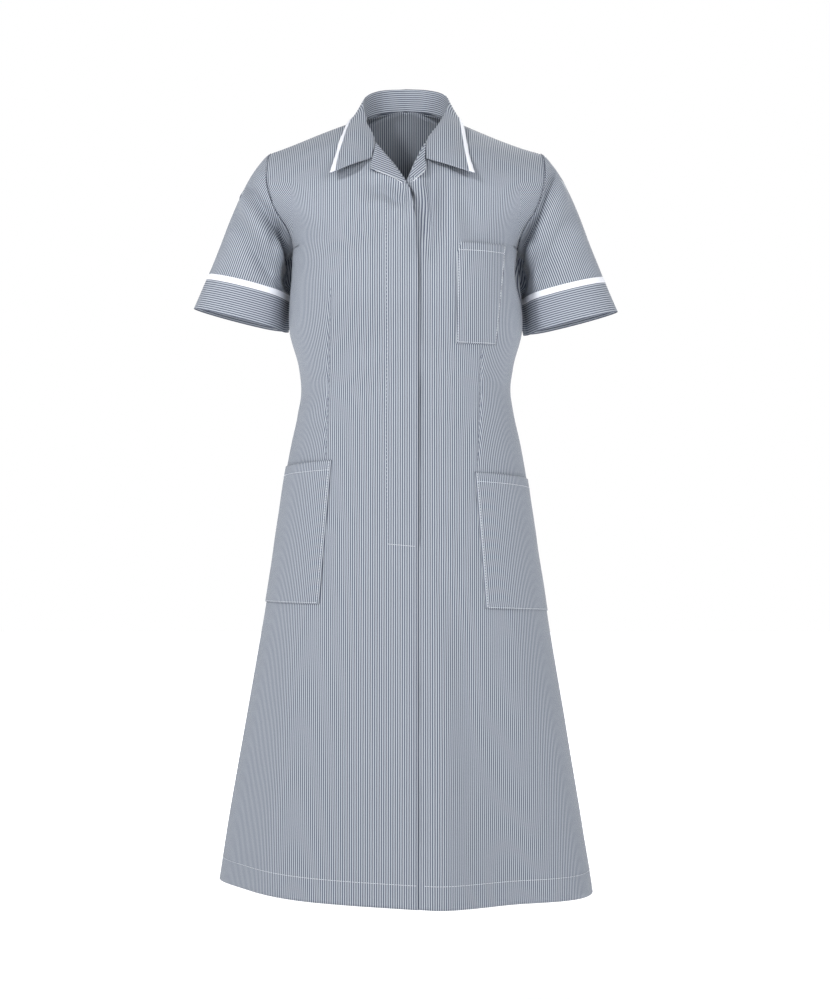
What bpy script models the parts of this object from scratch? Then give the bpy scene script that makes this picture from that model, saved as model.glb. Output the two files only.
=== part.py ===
import bpy
import math
import numpy as np

# Nurse uniform dress: a worn, hollow garment, metres, front faces -Y, +X is the wearer's left.
# The height zero is the neck point of the shoulder seam less 12 mm; the hem is 1.02 m below it.

# Cloth walls
CLOTH = 0.0012
COLLAR_WALL = 0.0015
LAPEL_WALL = 0.0011
POCKET_WALL = 0.0011
TAPE_WALL = 0.0010
SEAM_GAP = 0.0003

# Levels
UNDERARM_Z = -0.165
HEM_Z = -1.020
FLY_END_Z = -0.540
LAP_EDGE_X = 0.016
UNDERLAP_X = -0.022
SEAM_ALLOWANCE = 0.012

# Body below the underarm: level, half width at the side seam, depth in front, depth behind
BODY = (
    (-1.020, 0.2512, 0.160, 0.166),
    (-0.920, 0.2360, 0.151, 0.159),
    (-0.830, 0.2205, 0.143, 0.150),
    (-0.740, 0.2050, 0.135, 0.144),
    (-0.640, 0.1880, 0.127, 0.137),
    (-0.545, 0.1735, 0.120, 0.131),
    (-0.460, 0.1605, 0.112, 0.122),
    (-0.420, 0.1530, 0.105, 0.110),
    (-0.390, 0.1462, 0.099, 0.097),
    (-0.355, 0.1412, 0.095, 0.088),
    (-0.325, 0.1440, 0.099, 0.086),
    (-0.274, 0.1570, 0.113, 0.091),
    (-0.235, 0.1568, 0.124, 0.096),
    (-0.200, 0.1535, 0.125, 0.099),
    (-0.165, 0.1500, 0.119, 0.101),
)
FRONT_FULLNESS = 0.60
SIDE_FULLNESS = 0.56
UNDERARM_FULLNESS = 0.75
HEM_EASE = 0.09
HEM_TILT = 0.033
SHOULDER_RISE_RIGHT = 0.0026
SHOULDER_RISE_LEFT = -0.0012
BUST_X = 0.080
BUST_Z = -0.228
BUST_SPREAD = 0.055
BUST_RISE = 0.007

# Armhole seam of the wearer's left, closed, from the shoulder tip by the front to the underarm and up behind
ARMHOLE = (
    (0.1840, 0.005, -0.0350),
    (0.1860, -0.035, -0.0580),
    (0.1840, -0.052, -0.0850),
    (0.1710, -0.055, -0.1220),
    (0.1590, -0.045, -0.1400),
    (0.1500, 0.000, -0.1650),
    (0.1580, 0.045, -0.1400),
    (0.1720, 0.056, -0.0970),
    (0.1800, 0.045, -0.0620),
)
ARMHOLE_UNDERARM = 5

# Front above the underarm: share of the armhole, then the inner edge outward x (right), x (left), y, z
FRONT_INNER = (
    (0.00, -0.0150, -0.0220, -0.1190, -0.1650),
    (0.27, -0.0125, -0.0220, -0.1130, -0.1350),
    (0.39, -0.0098, -0.0215, -0.1085, -0.1180),
    (0.50, -0.0067, -0.0120, -0.1040, -0.1005),
    (0.58, 0.0000, 0.0005, -0.1000, -0.0870),
    (0.72, 0.0188, 0.0135, -0.0790, -0.0570),
    (0.86, 0.0410, 0.0274, -0.0560, -0.0280),
    (0.93, 0.0510, 0.0440, -0.0290, -0.0070),
    (1.00, 0.0580, 0.0580, 0.0000, 0.0120),
)
# Same shares: reach of the row as it leaves the inner edge (x, y, z) and as it meets the armhole (x, y, z)
FRONT_REACH = (
    (0.00, 0.090, 0.000, 0.000, 0.000, -0.089, 0.000),
    (0.27, 0.080, -0.006, 0.000, -0.013, -0.046, 0.000),
    (0.39, 0.070, -0.010, 0.000, -0.024, -0.038, 0.000),
    (0.50, 0.062, -0.014, 0.000, -0.030, -0.036, 0.002),
    (0.58, 0.060, -0.014, 0.001, -0.034, -0.034, 0.003),
    (0.72, 0.055, -0.013, 0.003, -0.038, -0.027, 0.004),
    (0.86, 0.048, -0.007, 0.002, -0.044, -0.017, 0.006),
    (0.93, 0.044, -0.003, -0.008, -0.044, -0.009, 0.009),
    (1.00, 0.040, 0.001, -0.015, -0.043, 0.000, 0.013),
)
# Back above the underarm: share of the armhole, inner edge x, y, z, reach inside (x, y, z), reach at the armhole
BACK_INNER = (
    (0.00, 0.0000, 0.1010, -0.1650, 0.084, 0.000, 0.000, 0.000, 0.076, 0.000),
    (0.28, 0.0000, 0.1040, -0.1180, 0.074, 0.002, -0.006, -0.012, 0.040, 0.000),
    (0.53, 0.0000, 0.1020, -0.0550, 0.062, 0.003, -0.008, -0.030, 0.026, 0.002),
    (0.70, 0.0000, 0.0900, 0.0000, 0.056, 0.002, -0.010, -0.038, 0.018, 0.006),
    (0.80, 0.0000, 0.0700, 0.0340, 0.052, 0.002, -0.016, -0.042, 0.012, 0.010),
    (0.88, 0.0280, 0.0610, 0.0300, 0.044, 0.000, -0.020, -0.043, 0.007, 0.012),
    (0.94, 0.0480, 0.0350, 0.0200, 0.041, 0.001, -0.017, -0.043, 0.003, 0.013),
    (1.00, 0.0580, 0.0000, 0.0120, 0.040, 0.001, -0.015, -0.043, 0.000, 0.013),
)
BACK_NECK_SHARE = 0.80

# Soft folds of the skirt: place at the hem, place at the head (share from centre to side, + to the wearer's left),
# head level, depth at the hem, half width
FRONT_FOLDS = (
    (-0.72, -0.66, -0.58, -0.0060, 0.16),
    (-0.38, -0.34, -0.60, 0.0050, 0.15),
    (0.11, 0.07, -0.52, 0.0100, 0.12),
    (0.43, 0.36, -0.54, -0.0130, 0.16),
    (0.76, 0.68, -0.60, 0.0040, 0.13),
)
BACK_FOLDS = (
    (0.36, 0.30, -0.52, 0.0070, 0.13),
    (0.62, 0.54, -0.56, -0.0070, 0.15),
    (0.85, 0.79, -0.56, 0.0040, 0.13),
)

# Sleeve of the wearer's left: hem ring centre, half width out along the arm's plane, half depth
SLEEVE_RING_CENTRE = (0.2260, 0.000, -0.2595)
SLEEVE_DROP_LEFT = 0.0042
SLEEVE_RING_OUT = (0.0598, 0.000, 0.0152)
SLEEVE_RING_DEPTH = 0.046
CUFF_DEPTH = 0.043
BAND_WIDTH = 0.007
# Run of the sleeve at places round it, from the crown by the front: share, start direction x, y, z, end direction x, y, z
SLEEVE_RUN = (
    (0.000, 0.74, 0.00, -0.67, 0.41, 0.00, -0.91),
    (0.125, 0.70, -0.22, -0.68, 0.37, 0.01, -0.93),
    (0.250, 0.42, -0.16, -0.89, 0.29, 0.02, -0.96),
    (0.375, 0.42, 0.10, -0.90, 0.23, 0.02, -0.97),
    (0.500, 0.46, 0.00, -0.89, 0.18, 0.00, -0.98),
    (0.625, 0.42, -0.10, -0.90, 0.23, -0.02, -0.97),
    (0.750, 0.42, 0.16, -0.89, 0.29, -0.02, -0.96),
    (0.875, 0.70, 0.22, -0.68, 0.37, -0.01, -0.93),
    (1.000, 0.74, 0.00, -0.67, 0.41, 0.00, -0.91),
)

# Collar, half, from centre back to the front end: neck seam, roll line (then gorge), outer edge
COLLAR = (
    ((0.0000, 0.0698, 0.0364), (0.0000, 0.0755, 0.0705), (0.0000, 0.1080, 0.0260)),
    ((0.0280, 0.0610, 0.0324), (0.0300, 0.0670, 0.0670), (0.0400, 0.0985, 0.0220)),
    ((0.0480, 0.0350, 0.0218), (0.0490, 0.0430, 0.0570), (0.0655, 0.0580, 0.0145)),
    ((0.0580, 0.0000, 0.0130), (0.0575, 0.0080, 0.0370), (0.0750, -0.0040, 0.0085)),
    ((0.0540, -0.0150, 0.0042), (0.0520, -0.0170, 0.0150), (0.0800, -0.0330, -0.0100)),
    ((0.0460, -0.0330, -0.0085), (0.0450, -0.0400, -0.0050), (0.0850, -0.0680, -0.0410)),
    ((0.0342, -0.0560, -0.0268), (0.0350, -0.0580, -0.0240), (0.0890, -0.0900, -0.0610)),
    (None, (0.0350, -0.0820, -0.0550), (0.0930, -0.1060, -0.0785)),
)
COLLAR_TAPE_WIDTH = 0.007
COLLAR_SPRING = 0.007
COLLAR_FRONT_LEAN = 0.105
COLLAR_FRONT_LEAN_MOST = 0.009

# Lapel facings: fold line and outer edge from the gorge down to the lap, outward x and z, lift off the front
LAPEL_RIGHT_FOLD = ((0.0390, -0.0300), (0.0205, -0.0560), (0.0015, -0.0860))
LAPEL_RIGHT_EDGE = ((0.0430, -0.0565), (0.0446, -0.0715), (0.0318, -0.0770), (0.0117, -0.0860), (-0.0045, -0.0990))
LAPEL_LEFT_FOLD = ((0.0266, -0.0300), (0.0150, -0.0560), (0.0045, -0.0790))
LAPEL_LEFT_EDGE = ((0.0243, -0.0560), (0.0254, -0.0735), (0.0200, -0.0800), (0.0130, -0.0860), (0.0075, -0.0905))
LAPEL_LIFT = 0.0030

# Pockets: outward x of the top and bottom inner corners, levels of the top (inner, outer) and bottom (inner, outer)
HIP_POCKET_RIGHT = (0.0960, 0.1115, -0.4500, -0.4590, -0.6370, -0.6385)
HIP_POCKET_LEFT = (0.0895, 0.1030, -0.4655, -0.4760, -0.6425, -0.6510)
BREAST_POCKET_INNER = (0.0665, 0.0655)
BREAST_POCKET_OUTER = (0.1300, 0.1180)
BREAST_POCKET_TOP = -0.1690
BREAST_POCKET_BOTTOM = -0.2980

# Counts along and across the cloth
BODY_ROWS = 22
UPPER_ROWS = 13
FRONT_COLUMNS = 14
BACK_COLUMNS = 11
CENTRE_BACK_EASE = 0.00045
SLEEVE_COLUMNS = 28
SLEEVE_ROWS = 8


def spline(marks, values, at, closed=False):
    """Smooth curve through values given at rising marks."""
    marks = np.asarray(marks, float)
    values = np.asarray(values, float)
    if values.ndim == 1:
        values = values[:, None]
    count = len(marks)
    slopes = np.zeros_like(values)
    for i in range(1, count - 1):
        before = (values[i] - values[i - 1]) / (marks[i] - marks[i - 1])
        after = (values[i + 1] - values[i]) / (marks[i + 1] - marks[i])
        wide = marks[i + 1] - marks[i - 1]
        slopes[i] = (before * (marks[i + 1] - marks[i]) + after * (marks[i] - marks[i - 1])) / wide
    slopes[0] = (values[1] - values[0]) / (marks[1] - marks[0])
    slopes[-1] = (values[-1] - values[-2]) / (marks[-1] - marks[-2])
    if closed:
        before = (values[-1] - values[-2]) / (marks[-1] - marks[-2])
        after = (values[1] - values[0]) / (marks[1] - marks[0])
        slopes[0] = (before + after) / 2
        slopes[-1] = slopes[0]
    place = min(max(at, marks[0]), marks[-1])
    i = int(min(np.searchsorted(marks, place, side="right") - 1, count - 2))
    width = marks[i + 1] - marks[i]
    q = (place - marks[i]) / width
    a = (1 + 2 * q) * (1 - q) ** 2
    b = q * (1 - q) ** 2
    c = q * q * (3 - 2 * q)
    d = q * q * (q - 1)
    return a * values[i] + b * width * slopes[i] + c * values[i + 1] + d * width * slopes[i + 1]


def chord_marks(points):
    points = np.asarray(points, float)
    steps = np.linalg.norm(np.diff(points, axis=0), axis=1)
    return np.concatenate([[0.0], np.cumsum(steps)])


def smooth(edge0, edge1, x):
    """Eases from 0 at the first edge to 1 at the second, which may be the lower one."""
    q = min(max((x - edge0) / (edge1 - edge0), 0.0), 1.0)
    return q * q * (3 - 2 * q)


def bezier(a, b, c, d, t):
    s = 1 - t
    return s * s * s * a + 3 * s * s * t * b + 3 * s * t * t * c + t * t * t * d


ARMHOLE_CLOSED = ARMHOLE + (ARMHOLE[0],)
ARMHOLE_MARKS = chord_marks(ARMHOLE_CLOSED)
UNDERARM_MARK = ARMHOLE_MARKS[ARMHOLE_UNDERARM]
ARMHOLE_LENGTH = ARMHOLE_MARKS[-1]
BODY_MARKS = [row[0] for row in BODY]
BODY_SIZES = [row[1:] for row in BODY]
FRONT_SHARES = [row[0] for row in FRONT_INNER]
FRONT_INNER_VALUES = [row[1:] for row in FRONT_INNER]
FRONT_REACH_VALUES = [row[1:] for row in FRONT_REACH]
BACK_SHARES = [row[0] for row in BACK_INNER]
BACK_VALUES = [row[1:] for row in BACK_INNER]


def armhole(mark):
    return spline(ARMHOLE_MARKS, ARMHOLE_CLOSED, mark % ARMHOLE_LENGTH if mark < ARMHOLE_LENGTH else ARMHOLE_LENGTH, True)


def side_fullness(z):
    """The body is squarer under the arms than at the waist and hem."""
    squarer = (UNDERARM_FULLNESS - SIDE_FULLNESS) * smooth(-0.31, UNDERARM_Z, z)
    return SIDE_FULLNESS + squarer - HEM_EASE * smooth(-0.60, HEM_Z, z)


def lap_edge(z):
    """Outer lap edge of the wearer's right front, as world x."""
    return LAP_EDGE_X - 0.001 * smooth(-0.19, -0.165, z)


def fold_push(folds, u, z):
    """Outward push of the soft skirt folds at share u from centre to side."""
    push = 0.0
    for hem_u, head_u, head_z, depth, half in folds:
        run = (head_z - z) / (head_z - HEM_Z)
        if run <= 0:
            continue
        centre = head_u + (hem_u - head_u) * run
        spread = half * (0.55 + 0.45 * run)
        push += depth * run ** 1.3 * math.exp(-((u - centre) / spread) ** 2)
    return push * smooth(0.0, 0.06, 1.0 - abs(u))


def settled(side, u, v, p):
    """World point of a body point: the hem hangs lower at the wearer's left, the shoulders differ a little."""
    x = p[0] * side
    rise = SHOULDER_RISE_RIGHT if side < 0 else SHOULDER_RISE_LEFT
    z = p[2] + rise * math.sin(math.pi * min(max(u, 0.0), 1.0)) * smooth(0.6, 1.0, v)
    return np.array([x, p[1], z - HEM_TILT * x * smooth(-0.60, HEM_Z, p[2])])


def front_row(side, v):
    """Four control points of a front row, outward x, and the outward x where the cloth starts."""
    if v <= 0:
        z = UNDERARM_Z + v * (UNDERARM_Z - HEM_Z)
        a, f, _ = spline(BODY_MARKS, BODY_SIZES, z)
        start = -lap_edge(z) if side < 0 else under_edge(z)
        inner = np.array([0.0, -f, z])
        outer = np.array([a, 0.0, z])
        reach_in = np.array([(FRONT_FULLNESS - HEM_EASE * smooth(-0.60, HEM_Z, z)) * a, 0.0, 0.0])
        reach_out = np.array([0.0, -side_fullness(z) * f, 0.0])
        return (inner, inner + reach_in, outer + reach_out, outer), start
    xr, xl, y, z = spline(FRONT_SHARES, FRONT_INNER_VALUES, v)
    reach = spline(FRONT_SHARES, FRONT_REACH_VALUES, v)
    start = xr if side < 0 else xl
    inner = np.array([max(start, 0.0), y, z])
    outer = armhole(UNDERARM_MARK * (1 - v))
    return (inner, inner + reach[:3], outer + reach[3:], outer), start


def under_edge(z):
    """Inner edge of the wearer's left front, as outward x: a wide underlap at the fly, a seam allowance below."""
    closed = smooth(FLY_END_Z + 0.010, FLY_END_Z - 0.010, z)
    return UNDERLAP_X + (LAP_EDGE_X - SEAM_ALLOWANCE - UNDERLAP_X) * closed


def front_point(side, u, v):
    """Outer face of a front at a share u of its width; side -1 is the wearer's right."""
    row, start = front_row(side, v)
    begin = 0.0
    if start < 0:
        pull = row[1][0]
        begin = start / (3 * pull)
        for _ in range(2):
            begin += (start + bezier(*row, -begin)[0]) / (3 * pull)
    w = begin + (1 - begin) * u
    p = bezier(*row, abs(w))
    if w < 0 and start < 0:
        p[0] = -p[0]
    elif w < 0:
        p = row[0] + (row[1] - row[0]) * 3 * w
    z = p[2]
    if v < 0:
        push = fold_push(FRONT_FOLDS, w * side, z)
        flat = np.array([p[0], p[1] * 1.6, 0.0])
        p = p + push * flat / np.linalg.norm(flat)
    bust = math.exp(-((p[0] - BUST_X) / BUST_SPREAD) ** 2 - ((z - BUST_Z) / BUST_SPREAD) ** 2)
    p[1] -= BUST_RISE * bust * smooth(0.0, 0.05, abs(p[0]))
    if side > 0:
        edge = front_lap_world_x(z)
        under = 1 - smooth(0.0060, 0.0220, p[0] - edge)
        under *= 1 - smooth(-0.088, -0.070, z)
        dip = CLOTH + SEAM_GAP + 0.0005 + 0.0014 * smooth(-0.20, -0.12, z)
        p = p + np.array([0.0, dip * under, 0.0])
    return settled(side, u, v, p)


def front_lap_world_x(z):
    if z < UNDERARM_Z:
        return lap_edge(z)
    top = FRONT_INNER[:5]
    return float(np.interp(z, [row[4] for row in top], [-row[1] for row in top]))


def back_row(v):
    if v <= 0:
        z = UNDERARM_Z + v * (UNDERARM_Z - HEM_Z)
        a, _, b = spline(BODY_MARKS, BODY_SIZES, z)
        inner = np.array([0.0, b, z])
        outer = np.array([a, 0.0, z])
        return inner, inner + np.array([SIDE_FULLNESS * a, 0, 0]), outer + np.array([0, side_fullness(z) * b, 0]), outer
    row = spline(BACK_SHARES, BACK_VALUES, v)
    inner = np.array(row[0:3])
    outer = armhole(UNDERARM_MARK + (ARMHOLE_LENGTH - UNDERARM_MARK) * v)
    return inner, inner + row[3:6], outer + row[6:9], outer


def back_point(side, u, v):
    """Outer face of the back on one side of its centre line."""
    p = bezier(*back_row(v), u)
    if v < 0:
        push = fold_push(BACK_FOLDS, u, p[2]) * (1.0 if side > 0 else 0.7)
        flat = np.array([p[0], p[1] * 1.6, 0.0])
        p = p + push * flat / np.linalg.norm(flat)
    return settled(side, u, v, p)


def surface_normal(point, u, v, step=0.004):
    """Outward normal of a body face, away from the upright axis."""
    du = point(min(u + step, 1.0), v) - point(max(u - step, 0.0), v)
    dv = point(u, v + step) - point(u, v - step)
    n = np.cross(du, dv)
    n = n / np.linalg.norm(n)
    p = point(u, v)
    if n[0] * p[0] + n[1] * p[1] < 0:
        n = -n
    return n


def front_at(side, x, z):
    """Outer face of a front at an outward x and a level, with its place (u, v)."""
    u, v = 0.4, 0.5
    if z < UNDERARM_Z:
        v = (z - UNDERARM_Z) / (UNDERARM_Z - HEM_Z)
    for _ in range(30):
        p = front_point(side, u, v)
        miss = np.array([x - p[0] * side, z - p[2]])
        if np.abs(miss).max() < 1e-6:
            break
        step = 1e-4
        pu = (front_point(side, u + step, v) - p) / step
        pv = (front_point(side, u, v + step) - p) / step
        matrix = np.array([[pu[0] * side, pv[0] * side], [pu[2], pv[2]]])
        change = np.linalg.solve(matrix, miss)
        u = min(max(u + max(min(change[0], 0.2), -0.2), -0.15), 1.0)
        v = min(max(v + max(min(change[1], 0.2), -0.2), -1.0), 1.0)
    return p, u, v


def arm_sections(side):
    """Curves of the sleeve from the armhole to the cuff hem, one per column."""
    curves = []
    for i in range(SLEEVE_COLUMNS):
        share = i / SLEEVE_COLUMNS
        if share <= 0.5:
            mark = UNDERARM_MARK * share * 2
        else:
            mark = UNDERARM_MARK + (ARMHOLE_LENGTH - UNDERARM_MARK) * (share - 0.5) * 2
        start = armhole(mark)
        angle = 2 * math.pi * share
        out = np.array(SLEEVE_RING_OUT)
        end = np.array(SLEEVE_RING_CENTRE) + out * math.cos(angle)
        end[2] -= SLEEVE_DROP_LEFT if side > 0 else 0.0
        end = end + np.array([0.0, -SLEEVE_RING_DEPTH * math.sin(angle), 0.0])
        run = spline([r[0] for r in SLEEVE_RUN], [r[1:] for r in SLEEVE_RUN], share, True)
        leave = run[:3] / np.linalg.norm(run[:3])
        arrive = run[3:] / np.linalg.norm(run[3:])
        length = np.linalg.norm(end - start)
        t = np.linspace(0.0, 1.0, 81)[:, None]
        line = bezier(start, start + leave * length * 0.22, end - arrive * length * 0.50, end, t)
        curves.append(line)
    return curves


def along(line, distance):
    """Point on a polyline at a distance from its start."""
    marks = chord_marks(line)
    place = min(max(distance, 0.0), marks[-1])
    return np.array([np.interp(place, marks, line[:, k]) for k in range(3)])


def object_collection(name):
    made = bpy.data.collections.new(name)
    bpy.context.scene.collection.children.link(made)
    return made


def cloth_material(name, colour):
    made = bpy.data.materials.new(name)
    made.use_nodes = True
    shader = made.node_tree.nodes["Principled BSDF"]
    shader.inputs["Base Color"].default_value = (*colour, 1.0)
    shader.inputs["Roughness"].default_value = 0.85
    made.diffuse_color = (*colour, 1.0)
    return made


def wall(name, vertices, faces, thickness, material, home):
    """Open face turned outward, thickened inward."""
    mesh = bpy.data.meshes.new(name)
    mesh.from_pydata([tuple(map(float, p)) for p in vertices], [], faces)
    mesh.update()
    made = bpy.data.objects.new(name, mesh)
    home.objects.link(made)
    made.data.materials.append(material)
    thick = made.modifiers.new("Cloth wall", "SOLIDIFY")
    thick.thickness = thickness
    thick.offset = -1.0
    thick.use_even_offset = True
    thick.use_quality_normals = True
    return made


def grid_faces(rows, columns, closed, flip, keep=None):
    faces = []
    across = columns if closed else columns - 1
    for r in range(rows - 1):
        for c in range(across):
            if keep is not None and not keep(r, c):
                continue
            n = (c + 1) % columns
            face = (r * columns + c, r * columns + n, (r + 1) * columns + n, (r + 1) * columns + c)
            faces.append(face[::-1] if flip else face)
    return faces


for old in list(bpy.data.objects):
    bpy.data.objects.remove(old, do_unlink=True)

garment = object_collection("nurse_uniform_dress")
fine_blue = cloth_material("striped_cotton_front", (0.36, 0.40, 0.49))
back_blue = cloth_material("striped_cotton_back", (0.34, 0.38, 0.47))
sleeve_blue = cloth_material("striped_cotton_sleeve", (0.38, 0.42, 0.51))
collar_blue = cloth_material("striped_cotton_collar", (0.40, 0.44, 0.53))
pocket_blue = cloth_material("striped_cotton_pocket", (0.37, 0.41, 0.50))
white_tape = cloth_material("white_tape", (0.90, 0.91, 0.93))

# Rows up the body and over the chest
body_levels = sorted(set(
    [row[0] for row in BODY] + [HEM_Z + (UNDERARM_Z - HEM_Z) * i / BODY_ROWS for i in range(BODY_ROWS + 1)]
))
kept_levels = [body_levels[0]]
for level in body_levels[1:]:
    if level - kept_levels[-1] > 0.022:
        kept_levels.append(level)
kept_levels[-1] = UNDERARM_Z
row_places = [(z - UNDERARM_Z) / (UNDERARM_Z - HEM_Z) for z in kept_levels]
row_places += [(i + 1) / UPPER_ROWS for i in range(UPPER_ROWS)]

# Side seams and shoulder seams stand a little apart
SIDE_EDGE = 0.00026 / 0.20
SHOULDER_EDGE_NECK = 0.0020
SHOULDER_EDGE_TIP = 0.0040

# Fronts
FRONT_SPREAD = [i / (FRONT_COLUMNS - 1) for i in range(FRONT_COLUMNS)]
FRONT_SPREAD = [s - 0.05 * math.sin(2 * math.pi * s) for s in FRONT_SPREAD]
for side, name in ((-1, "front_right"), (1, "front_left")):
    points = []
    for v in row_places:
        for share in FRONT_SPREAD:
            place = min(v, 1.0 - SHOULDER_EDGE_NECK - (SHOULDER_EDGE_TIP - SHOULDER_EDGE_NECK) * share)
            points.append(front_point(side, share * (1 - SIDE_EDGE), place))
    faces = grid_faces(len(row_places), FRONT_COLUMNS, False, side < 0)
    wall(name, points, faces, CLOTH, fine_blue, garment)

# Back, one cut piece, in two halves that meet along the centre line up to the neck
back_places = list(row_places)
neck_row = min(range(len(back_places)), key=lambda k: abs(back_places[k] - BACK_NECK_SHARE))
back_places[neck_row] = BACK_NECK_SHARE
for side, name in ((-1, "back_right"), (1, "back_left")):
    points = []
    for v in back_places:
        first, second = back_row(v)[:2]
        apart = SEAM_GAP / 2 + CENTRE_BACK_EASE * smooth(0.20, 0.75, v)
        centre = apart / (3 * second[0]) if first[0] < SEAM_GAP else 0.0
        for c in range(BACK_COLUMNS):
            share = 1 - (1 - c / (BACK_COLUMNS - 1)) ** 1.12
            u = centre + (1 - SIDE_EDGE - centre) * share
            place = min(v, 1.0 - SHOULDER_EDGE_NECK - (SHOULDER_EDGE_TIP - SHOULDER_EDGE_NECK) * share)
            points.append(back_point(side, u, place))
    faces = grid_faces(len(back_places), BACK_COLUMNS, False, side > 0)
    wall(name, points, faces, CLOTH, back_blue, garment)

# Sleeves, white bands and cuffs
CUFF_START = CUFF_DEPTH
BAND_START = CUFF_DEPTH + BAND_WIDTH
for side, name in ((-1, "right"), (1, "left")):
    turn = np.array([side, 1, 1])
    arm_lines = arm_sections(side)
    ends = [chord_marks(line)[-1] for line in arm_lines]
    starts = []
    for i, line in enumerate(arm_lines):
        nearby = arm_lines[(i + 1) % SLEEVE_COLUMNS][3] - arm_lines[i - 1][3]
        ts = line[2] - line[0]
        ts = ts / np.linalg.norm(ts)
        ns = np.cross(nearby, ts)
        ns = ns / np.linalg.norm(ns)
        share = i / SLEEVE_COLUMNS
        if share <= 0.5:
            v = 1 - share * 2
            tb = front_point(1, 0.995, v) - front_point(1, 0.975, v)
        else:
            v = (share - 0.5) * 2
            tb = back_point(1, 0.995, v) - back_point(1, 0.975, v)
        tb = tb / np.linalg.norm(tb)
        centre = sum(arm_lines[k][20] for k in range(0, SLEEVE_COLUMNS, 4)) / (SLEEVE_COLUMNS / 4)
        if np.dot(ns, line[20] - centre) < 0:
            ns = -ns
        bend = float(np.dot(ns, tb))
        level = max(float(np.dot(ts, tb)), 0.05)
        inset = SEAM_GAP
        if bend > 0:
            inset = min((SEAM_GAP + CLOTH * bend) / level, (CLOTH + SEAM_GAP) / max(bend, 0.1)) + 0.0002
        starts.append(inset)
    for part_name, first, last, rows, material in (
        ("sleeve_", None, BAND_START + SEAM_GAP / 2, SLEEVE_ROWS, sleeve_blue),
        ("cuff_band_", BAND_START - SEAM_GAP / 2, CUFF_START + SEAM_GAP / 2, 2, white_tape),
        ("cuff_", CUFF_START - SEAM_GAP / 2, 0.0, 4, sleeve_blue),
    ):
        points = []
        for r in range(rows):
            for i, line in enumerate(arm_lines):
                top = starts[i] if first is None else ends[i] - first
                bottom = ends[i] - last
                points.append(along(line, top + (bottom - top) * r / (rows - 1)) * turn)
        wall(part_name + name, points, grid_faces(rows, SLEEVE_COLUMNS, True, side < 0), CLOTH, material, garment)


# Collar: stand up from the neck seam to the roll line, then the fall down to the outer edge
COLLAR_MARKS = chord_marks([row[1] for row in COLLAR])
ROLL_START = len(COLLAR) - 2


def lean(p):
    """The open front of the neck sits a little to the wearer's right."""
    move = max(-COLLAR_FRONT_LEAN_MOST, COLLAR_FRONT_LEAN * min(p[1], 0.0))
    fade = 1 - 0.55 * smooth(0.045, 0.095, abs(p[0]))
    return np.array([p[0] + move * fade, p[1], p[2]])


def collar_station(mark):
    roll = spline(COLLAR_MARKS, [row[1] for row in COLLAR], mark)
    edge = spline(COLLAR_MARKS, [row[2] for row in COLLAR], mark)
    seam_marks = COLLAR_MARKS[:ROLL_START + 1]
    seam = spline(seam_marks, [row[0] for row in COLLAR[:ROLL_START + 1]], min(mark, seam_marks[-1]))
    return seam, roll, edge


def collar_fall(side, mark, q):
    """Fall of the collar from the roll line (0) to the outer edge (1)."""
    _, roll, edge = collar_station(mark)
    span = edge - roll
    away = np.array([roll[0] * 0.9, roll[1], 0.0])
    away = away / max(np.linalg.norm(away), 1e-6)
    rise = 1 - smooth(COLLAR_MARKS[1], COLLAR_MARKS[3], mark)
    up = np.array([0.0, 0.0, 1.0])
    bow = away * COLLAR_SPRING * rise + up * 0.003 * rise
    front = smooth(COLLAR_MARKS[3], COLLAR_MARKS[5], mark)
    bow = bow + np.array([0.0, -0.010, 0.004]) * front
    p = roll + span * q + bow * 4 * q * (1 - q) * (1 - 0.35 * q)
    return p * np.array([side, 1, 1])


def collar_stand(side, mark, q):
    seam, roll, _ = collar_station(mark)
    p = seam + (roll - seam) * q
    return p * np.array([side, 1, 1])


def body_cloud():
    """Places and outward directions over the chest and upper back, to lay the collar on."""
    places = []
    outs = []
    for s in (-1, 1):
        for i in range(27):
            for k in range(45):
                u, v = i / 26, -0.05 + k / 44 * 1.05
                for point in (front_point, back_point):
                    p = point(s, u, v)
                    du = point(s, min(u + 0.01, 1.0), v) - point(s, max(u - 0.01, 0.0), v)
                    dv = point(s, u, min(v + 0.01, 1.0)) - point(s, u, v - 0.01)
                    n = np.cross(du, dv)
                    size = np.linalg.norm(n)
                    if size < 1e-9:
                        continue
                    n = n / size
                    out = np.array([p[0], p[1], 0.06 + 0.5 * (p[2] + 0.05)])
                    if np.dot(n, out) < 0:
                        n = -n
                    places.append(p)
                    outs.append(n)
    return np.array(places), np.array(outs)


BODY_PLACES, BODY_OUTS = body_cloud()


def lifted(p, clear):
    """Moves a point out until it stands clear of the body cloth below it."""
    for _ in range(2):
        far = np.linalg.norm(BODY_PLACES - p, axis=1)
        near = np.argsort(far)[:4]
        weights = 1 / (far[near] + 0.002)
        weights = weights / weights.sum()
        out = (BODY_OUTS[near] * weights[:, None]).sum(axis=0)
        out = out / np.linalg.norm(out)
        height = float((((p - BODY_PLACES[near]) @ out) * weights).sum())
        if height < clear:
            p = p + out * (clear - height)
    return p


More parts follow.
